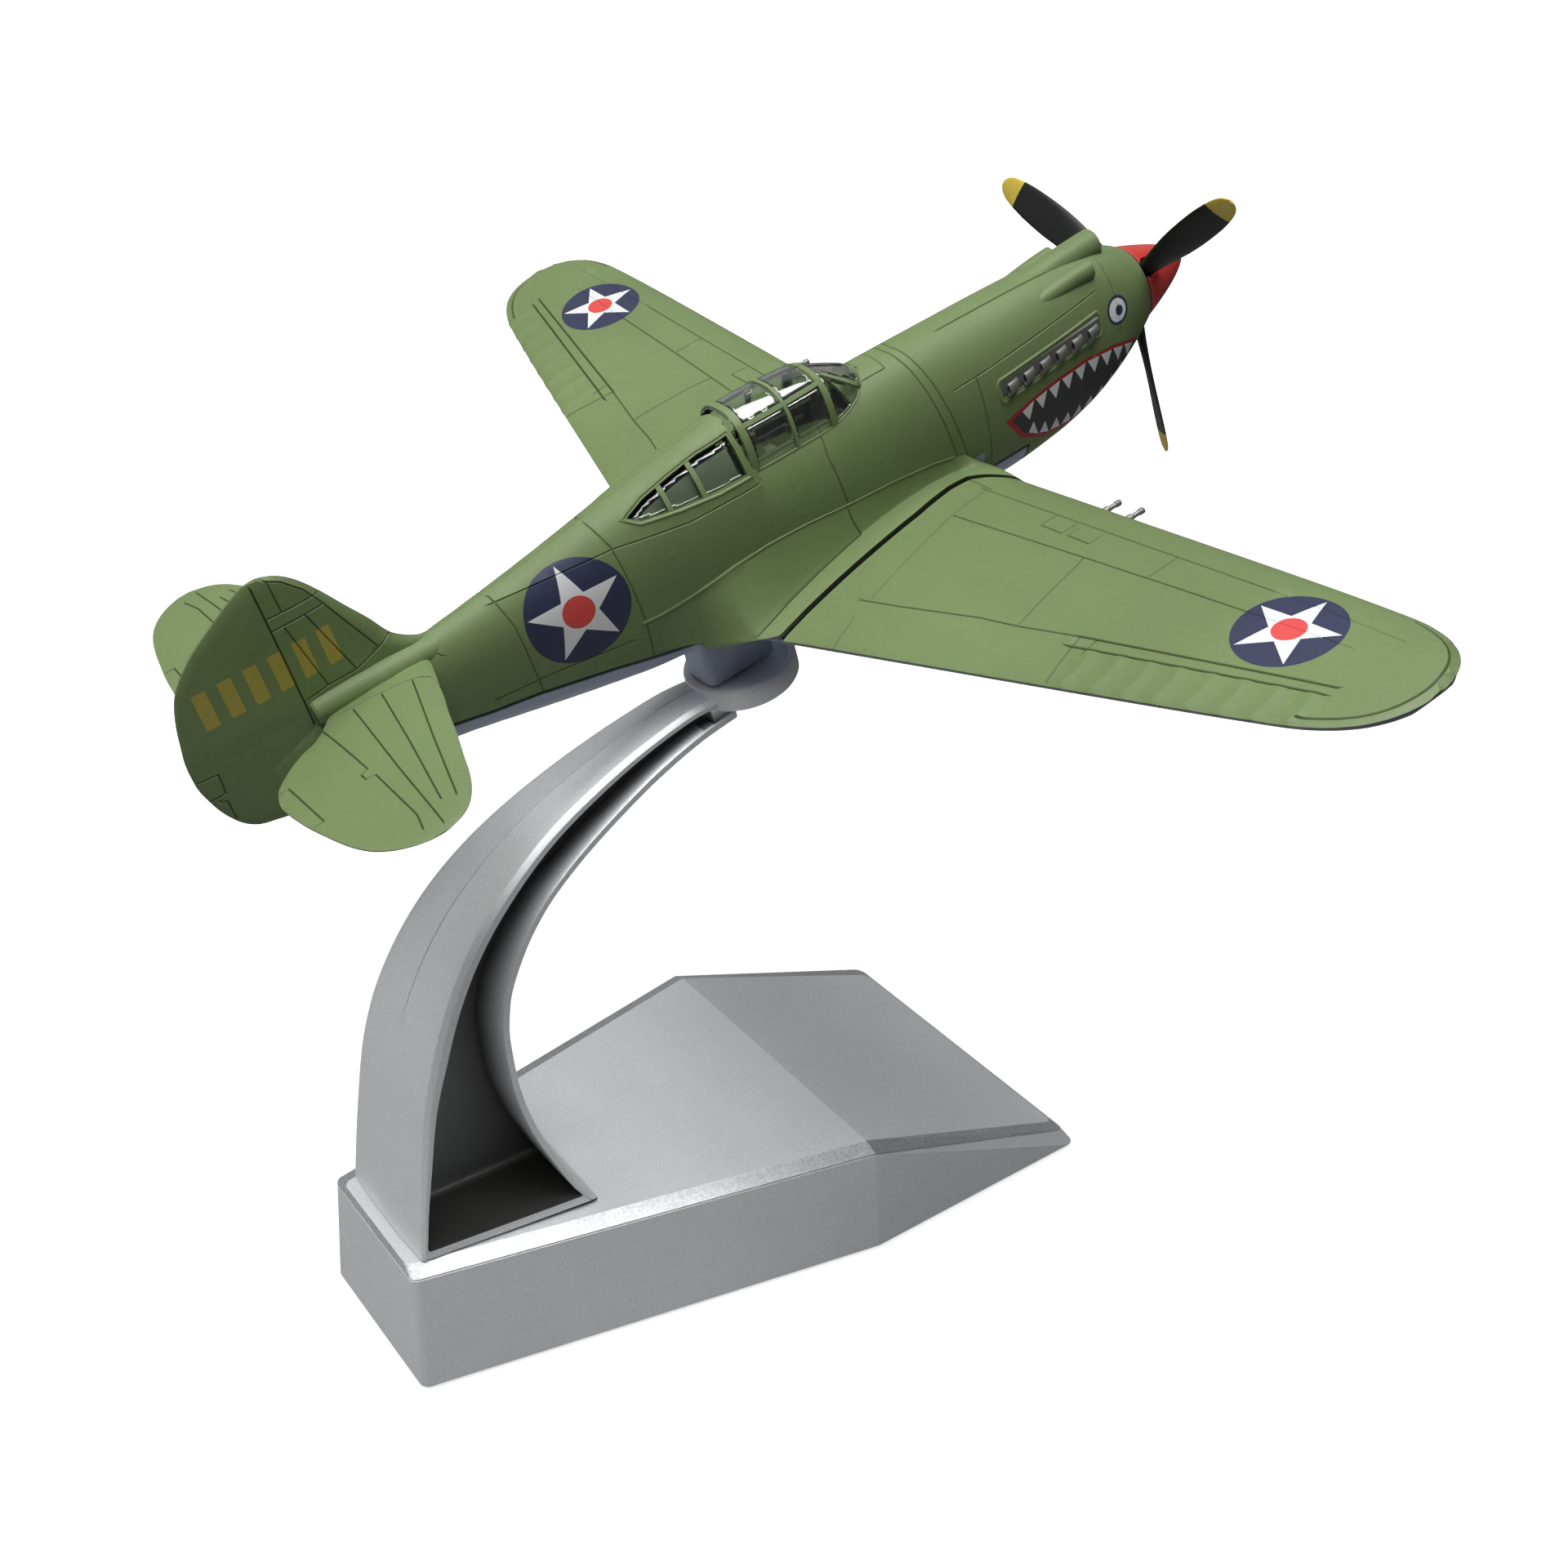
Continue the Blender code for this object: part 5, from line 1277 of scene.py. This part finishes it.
def make_blade(angle):
    """One twisted blade with a rounded tip, black with a yellow end."""
    around = [(0.5 * math.cos(t), math.copysign(abs(math.sin(t)) ** 0.8, math.sin(t))) for t in turns(28)]
    radii = np.concatenate([
        np.linspace(1.6, YELLOW_FROM, 34), np.linspace(YELLOW_FROM + 0.25, 22.6, 9),
        [22.8, 23.0, 23.15, 23.25, 23.32, BLADE_RADIUS],
    ])
    rings = [[blade_point(angle, r, share, over) for share, over in around] for r in radii]
    blade = loft(rings)
    far = np.linalg.norm(blade.points[blade.faces].mean(1)[:, [0, 2]], axis=1)
    blade.names[far > YELLOW_FROM] = "tip"
    return blade


def slot_cutter(angle):
    """Oval bar along the root of a blade, for the opening in the spinner."""
    across, along = math.cos(angle), math.sin(angle)
    return loft([
        [(radius * across - 1.42 * math.cos(t) * along, 1.55 * math.sin(t) - 0.2,
          radius * along + 1.42 * math.cos(t) * across) for t in turns(32)]
        for radius in (0.6, 8.0)
    ])


def cut_out(made, holes):
    """Cuts a shell's solids out of an object, for good."""
    cutter = bpy.data.objects.new("cutter", bpy.data.meshes.new("cutter"))
    bpy.context.scene.collection.objects.link(cutter)
    mesh = bmesh.new()
    verts = [mesh.verts.new(point) for point in to_row_frame(holes.points)]
    for face in holes.faces:
        mesh.faces.new([verts[int(n)] for n in face])
    bmesh.ops.recalc_face_normals(mesh, faces=mesh.faces)
    mesh.to_mesh(cutter.data)
    mesh.free()
    step = made.modifiers.new("cut", "BOOLEAN")
    step.operation = "DIFFERENCE"
    step.solver = "EXACT"
    step.object = cutter
    bpy.context.view_layer.update()
    cut = bpy.data.meshes.new_from_object(made.evaluated_get(bpy.context.evaluated_depsgraph_get()))
    made.modifiers.clear()
    made.data = cut
    bpy.data.objects.remove(cutter, do_unlink=True)


def make_propeller(looks):
    """Red spinner with its openings, the hub with three blades, and the plate behind them."""
    span = SPINNER_REAR - SPINNER_TIP
    depths = SPINNER_TIP + span * np.linspace(0, 1, 40) ** 1.6
    profile = [(max(SPINNER_BASE * ((y - SPINNER_TIP) / span) ** 0.62, 0.02), y) for y in depths]
    profile += [(SPINNER_BASE - 0.05, SPINNER_REAR + 0.05), (SPINNER_BASE - 0.6, SPINNER_REAR + 0.06)]
    dome = piece("spinner_dome", turned(profile, 96), looks, {"": "spinner"}, ["spinner"],
                 body="propeller")
    cut_out(dome, joined(*[slot_cutter(math.radians(angle)) for angle in BLADE_ANGLES]))
    hub = turned([(0.5, -2.2), (2.2, -2.2), (2.6, -1.8), (2.6, 0.4), (2.2, 0.8), (0.9, 0.85)], 40)
    blades = joined(hub, *[make_blade(math.radians(angle)) for angle in BLADE_ANGLES])
    piece("blades", blades, looks, {"": "black", "tip": "yellow"}, ["propeller_blades"],
          body="propeller")
    # Painted shade: the plate behind the spinner is near-black, so the gap between spinner and cowling reads
    # dark.
    plate = turned([(1.1, 1.02), (4.1, 1.02), (4.2, 1.1), (4.2, 2.1), (4.1, 2.2), (1.1, 2.2)], 96)
    piece("spinner_plate", plate, looks, {"": "dark"}, ["spinner_back_plate"],
          body="propeller")


# ---------------------------------------------------------------- stand

BASE_REAR, BASE_FRONT, RIDGE_Y = 46.7, -47.5, -12.6
REAR_HALF, RIDGE_HALF, FRONT_HALF = 12.3, 24.8, 24.7
REAR_HEIGHT, RIDGE_HEIGHT, FRONT_HEIGHT = 17.0, 15.7, 1.6
BASE_LIFT, BASE_DRAFT, BASE_CHAMFER, CHAMFER_DROP = 0.3, 1.5, 2.0, 0.8
FOOT_TOP = 18.2


def quarter_arc(x, y, radius, first, last):
    """Seven points of an arc between two angles in degrees."""
    return [(x + radius * math.cos(t), y + radius * math.sin(t))
            for t in np.radians(np.linspace(first, last, 7))]


def base_outline(side_in, end_in):
    """Plan of the base, widest at the ridge, with rounded corners, moved in at its sides and ends."""
    corner = 1.3
    rear, front = BASE_REAR - end_in - corner, BASE_FRONT + end_in + corner
    side = quarter_arc(REAR_HALF - side_in - corner, rear, corner, 90.0, 0.0)
    side.append((RIDGE_HALF - side_in, RIDGE_Y))
    side += quarter_arc(FRONT_HALF - side_in - corner, front, corner, 0.0, -90.0)
    return side + [(-x, y) for x, y in reversed(side)]


def top_height(y):
    """Height of the base's top: nearly level behind the ridge, falling to the thin front edge."""
    if y >= RIDGE_Y:
        share = (y - RIDGE_Y) / (BASE_REAR - RIDGE_Y)
        return RIDGE_HEIGHT + (REAR_HEIGHT - RIDGE_HEIGHT) * min(share, 1.0)
    share = (RIDGE_Y - y) / (RIDGE_Y - BASE_FRONT)
    return RIDGE_HEIGHT + (FRONT_HEIGHT - RIDGE_HEIGHT) * min(share, 1.0)


def make_base(looks):
    """Wedge with a bright chamfer along its sides and a fine groove below it."""
    rings = [[(x, y, BASE_LIFT) for x, y in base_outline(inset, inset)] for inset in (1.3, 0.0)]
    draft = BASE_DRAFT * 0.5
    for side_in, end_in, share, below in (
        (BASE_DRAFT, draft, 1.0, 0.3), (BASE_DRAFT + 0.2, draft + 0.1, 1.0, 0.2),
        (BASE_DRAFT + 0.2, draft + 0.1, 1.0, 0.08), (BASE_DRAFT, draft, 1.0, 0.0),
        (BASE_DRAFT + BASE_CHAMFER, draft + 0.4, 0.0, 0.0),
    ):
        ring = []
        for x, y in base_outline(side_in, end_in):
            drop = (CHAMFER_DROP * share + below) * min(1.0, (top_height(y) - 1.0) / 6.0)
            ring.append((x, y, top_height(y) - drop))
        rings.append(ring)
    made = loft(rings, caps=False)
    count = len(rings[0])
    last = (len(rings) - 1) * count
    top = [(last + n, last + n + 1, last + count - 2 - n, last + count - 1 - n)
           for n in range(count // 2 - 1)]
    made.faces = np.vstack([made.faces, plain(made.points, top).faces])
    made.names = np.full(len(made.faces), "", dtype=object)
    made.names[2 * (last - count):2 * last] = "chamfer"
    base = piece("base_skin", made, looks, {"": "silver", "chamfer": "brushed"},
                 ["base_casting"], body="stand", sharp=12)
    rounded(base, 0.00008, 1, 12)
    even = base.modifiers.new("even", "WEIGHTED_NORMAL")
    even.keep_sharp = True


ARM_TABLE = tuple((n, *rear, *front, *halves) for n, (rear, front, *halves) in enumerate(ARM_ROWS))
SLOT_END = 12.3


def arm_ring(place):
    """One I-shaped section of the arm, square to it, at that place along its table."""
    ry, rz, fy, fz, half_rear, half_front = (float(curve(ARM_TABLE, column, place)) for column in range(1, 7))
    length = math.hypot(fy - ry, fz - rz)
    above_foot = float(np.clip((rz - FOOT_TOP) / 0.35, 0, 1))
    below_end = float(np.clip((SLOT_END - place) / 0.35, 0, 1))
    open_share = math.sqrt(above_foot) * math.sqrt(1 - (1 - below_end) ** 2)
    near = float(np.interp(place, (0.0, 2.0, 5.0, 7.0, 11.0), (0.8, 1.1, 1.9, 1.8, 1.4)))
    far = length - float(np.interp(place, (0.0, 5.0, 11.0), (0.9, 1.0, 1.2)))
    fall, thick = 0.35, length - far
    bevel = min(0.55, near * 0.35)
    groove = 0.2 * float(np.clip((place - 4.6) / 1.6, 0, 1))
    web_rear = half_rear - (half_rear - 0.8) * open_share
    web_front = half_front - (half_front - 0.8) * open_share
    side = [
        (0.0, groove), (0.12, 0.0), (half_rear * 0.5, fall * 0.3),
        (half_rear - bevel - 0.15, fall * 0.85), (half_rear - bevel, fall), (half_rear, fall + bevel),
        (half_rear, near), (half_rear - 0.2, near + 0.1), (web_rear + 0.5 * open_share, near + 0.3),
        (web_rear, near + 0.8 * open_share + 0.31), (web_front, far - 0.7 * open_share - 0.2),
        (web_front + 0.4 * open_share, far - 0.19), (half_front - 0.2, far),
        (half_front, far + 0.15 * thick), (half_front, far + 0.75 * thick), (half_front - 0.25, length),
        (half_front * 0.5, length),
    ]
    aim = ((fy - ry) / length, (fz - rz) / length)
    ring = [(x, ry + aim[0] * t, rz + aim[1] * t) for x, t in side]
    return ring + [(-x, y, z) for x, y, z in ring[:0:-1]]


def make_arm(looks):
    """Curved arm with a recess on each side, and the round plate at its top."""
    places = np.concatenate([
        [0.0, 0.27, 0.29, 0.45], np.linspace(0.6, 0.86, 14), np.linspace(0.95, 11.8, 96),
        np.linspace(11.85, 12.35, 14), [12.7, 13.0],
    ])
    rings = [arm_ring(place) for place in places]
    for low in (0, 1):
        rings[low] = [(x * 0.95, 32.0 + (y - 32.0) * 0.97, z) for x, y, z in rings[low]]
    arm = loft(rings)
    count = len(rings[0])
    column, row = np.arange(len(arm.faces)) // 2 % count, np.arange(len(arm.faces)) // 2 // count
    start = places[np.minimum(row, len(places) - 1)]
    at_ends = (start < 0.9) | (start > 12.0)
    wide, narrow = np.isin(column, (8, 9, 10, 11, 21, 22, 23, 24)), np.isin(column, (9, 10, 22, 23))
    # Painted shade: the webs and pocket floors take the dark recess paint.
    arm.names[np.where(at_ends, wide, narrow) & (start > 0.7) & (start < SLOT_END)] = "web"
    # Painted shade through the seam layer: the pockets' inner corners along the arm and the rings at the foot
    # are darkened.
    opened = int((places < 0.7).sum())
    for point, rows in ((10, None), (11, None), (22, None), (23, None), (9, 8), (24, 8)):
        end = (opened + rows if rows else len(places)) * count
        arm.depth[opened * count + point:end:count] = 1.0
    arm.depth[:2 * count] = 1.0
    piece("arm_skin", arm, looks, {"": "silver", "web": "recess"}, ["stand_arm"],
          body="stand", sharp=38)
    plate = [(1.0, -3.0), (3.4, -2.95), (DISC_RADIUS - 0.5, -2.85), (DISC_RADIUS - 0.15, -2.7),
             (DISC_RADIUS, -2.45), (DISC_RADIUS, -0.35), (DISC_RADIUS - 0.12, -0.1), (DISC_RADIUS - 0.4, 0.0),
             (DISC_RADIUS - 0.9, -0.02), (DISC_RADIUS - 1.1, -0.25), (1.8, -0.25)]
    disc = turned([(radius, DISC_Z + height) for radius, height in plate], 72, (0.0, DISC_Y), "z")
    disc.points = to_row_frame(disc.points) * 1000
    piece("cradle_plate", disc, looks, {"": "silver"}, [], body="stand")


def make_block(looks):
    """Block under the belly that stands in the cradle, rounded at its rear corners."""
    outline = quarter_arc(2.2, 63.4, 0.5, -90.0, 0.0) + quarter_arc(1.75, 71.2, 1.0, 0.0, 90.0)
    outline += [(-x, y) for x, y in reversed(outline)]
    low = [(x * 0.97, 66.6 + (y - 66.6) * 0.97, DISC_Z + GAP) for x, y in outline]
    rise = [(x, y, DISC_Z + GAP + 0.2) for x, y in outline]
    high = [(x, y, -11.0) for x, y in outline]
    piece("belly_block", loft([low, rise, high]), looks, {"": "grey"}, [])


# ---------------------------------------------------------------- studio

CAMERA_PLACE = (-0.16754, 0.10786, 0.18053)
CAMERA_RIGHT = (-0.58668, -0.80979, 0.00762)
CAMERA_UP = (0.41652, -0.29366, 0.8604)
CAMERA_BACK = (-0.6945, 0.50795, 0.50957)
CAMERA_LENS = 44.34


def make_camera():
    """The camera at the photo's place and angle."""
    data = bpy.data.cameras.new("camera")
    data.lens = CAMERA_LENS
    data.sensor_width = 36.0
    data.clip_start = 0.005
    camera = bpy.data.objects.new("camera", data)
    turn = Matrix((CAMERA_RIGHT, CAMERA_UP, CAMERA_BACK)).transposed().to_4x4()
    camera.matrix_world = Matrix.Translation(CAMERA_PLACE) @ turn
    bpy.context.scene.collection.objects.link(camera)
    bpy.context.scene.camera = camera


def make_light(name, place, size, power):
    """A square lamp aimed at the middle of the model. The sheen gives only highlights."""
    light = bpy.data.lights.new(name, "AREA")
    light.energy = power
    light.size = size
    lamp = bpy.data.objects.new(name, light)
    lamp.location = place
    lamp.rotation_mode = "QUATERNION"
    lamp.rotation_quaternion = (Vector((0, 0, 0.07)) - Vector(place)).to_track_quat("-Z", "Y")
    bpy.context.scene.collection.objects.link(lamp)
    lamp.visible_diffuse = name != "sheen"


def make_studio():
    """Camera, lamps, dim white world, a pale floor only the camera sees, and an unseen table for bounce."""
    make_camera()
    make_light("overhead", (-0.05, 0.2, 1.0), 0.9, 13.2)
    make_light("front", (0.8, -0.6, 0.65), 1.2, 1.1)
    make_light("rear", (0.6, 0.75, 0.2), 1.0, 1.5)
    make_light("sheen", (-0.2, -0.12, 1.0), 0.5, 5.0)
    world = bpy.data.worlds.new("studio")
    world.use_nodes = True
    world.node_tree.nodes["Background"].inputs["Color"].default_value = (1.0, 1.0, 1.0, 1.0)
    world.node_tree.nodes["Background"].inputs["Strength"].default_value = 0.06
    bpy.context.scene.world = world
    bpy.context.scene.view_settings.view_transform = "Standard"
    floor = stage_sheet("floor", bowl(), 0.5, (0.72, 1.1))
    for sight in ("diffuse", "glossy", "transmission", "shadow"):
        setattr(floor, "visible_" + sight, False)
    reach, drop = 0.17, -0.0004
    square = [(-reach, -reach, drop), (reach, -reach, drop), (reach, reach, drop), (-reach, reach, drop)]
    table = stage_sheet("table_bounce", [square], 0.36, (0.0, 0.0))
    table.visible_camera = False


def bowl():
    """Faces of a pale floor that curves up into a backdrop all round."""
    rings = [(0.6, 0.0), (1.6, 0.0), (2.1, 0.06), (2.5, 0.25), (2.75, 0.6), (2.85, 1.1), (2.85, 3.4)]

    def at(ring, angle):
        return ring[0] * math.cos(angle), ring[0] * math.sin(angle), ring[1] - 0.0002

    around = [math.tau * n / 48 for n in range(49)]
    faces = [[at(rings[0], angle) for angle in around[:-1]]]
    for near, far in zip(rings, rings[1:]):
        faces += [[at(near, a), at(far, a), at(far, b), at(near, b)] for a, b in zip(around, around[1:])]
    return faces


def stage_sheet(name, faces, albedo, glow):
    """A plain surface of the studio. glow is its own light near the model and far from it."""
    mesh = bpy.data.meshes.new(name)
    points = [point for face in faces for point in face]
    ends = np.cumsum([len(face) for face in faces])
    mesh.from_pydata(points, [], [tuple(range(end - len(face), end)) for face, end in zip(faces, ends)])
    look = Look(name)
    far = look.node("VectorMath", "Value", {0: look.place}, operation="LENGTH")
    light = {"Value": far, "From Min": 0.07, "From Max": 0.4, "To Min": glow[0], "To Max": glow[1]}
    look.surface({
        "Base Color": (albedo, albedo, albedo, 1.0), "Roughness": 0.9, "Specular IOR Level": 0.0,
        "Emission Color": (1.0,) * 4, "Emission Strength": look.node("MapRange", "Result", light),
    })
    mesh.materials.append(look.material)
    made = bpy.data.objects.new(name, mesh)
    bpy.context.scene.collection.objects.link(made)
    return made


NODE_LOOKS = {
    "base_pad": "pad", "arm_screw_1": "steel", "arm_screw_2": "steel", "cradle_peg": "steel",
    "cockpit_tub": "interior", "pilot_seat": "interior", "instrument_panel": "dark", "control_stick": "dark",
    "gunsight": "dark", "belly_screw_1": "steel", "belly_screw_2": "steel", "shaft_bush": "brass",
    "propeller_shaft": "steel", "shaft_collar": "steel",
}

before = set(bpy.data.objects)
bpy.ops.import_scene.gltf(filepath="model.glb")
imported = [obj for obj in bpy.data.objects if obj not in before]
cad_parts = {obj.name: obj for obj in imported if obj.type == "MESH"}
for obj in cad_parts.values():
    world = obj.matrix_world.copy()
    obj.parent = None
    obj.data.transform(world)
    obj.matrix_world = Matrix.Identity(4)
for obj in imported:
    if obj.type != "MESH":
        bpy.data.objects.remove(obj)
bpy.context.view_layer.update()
looks = make_looks()
for node, look in NODE_LOOKS.items():
    for material_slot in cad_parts[node].material_slots:
        material_slot.material = looks[look]
body = make_fuselage(looks)
make_wings(looks)
make_fillets(looks)
make_fin(looks)
make_tail_fairing(looks)
make_tailplanes(looks)
make_canopy(looks)
make_quarter_windows(looks, body)
make_cockpit_trim(looks)
make_nose(looks)
make_scoops(looks)
make_exhausts(looks)
make_guns(looks)
make_propeller(looks)
make_base(looks)
make_arm(looks)
make_block(looks)
make_studio()
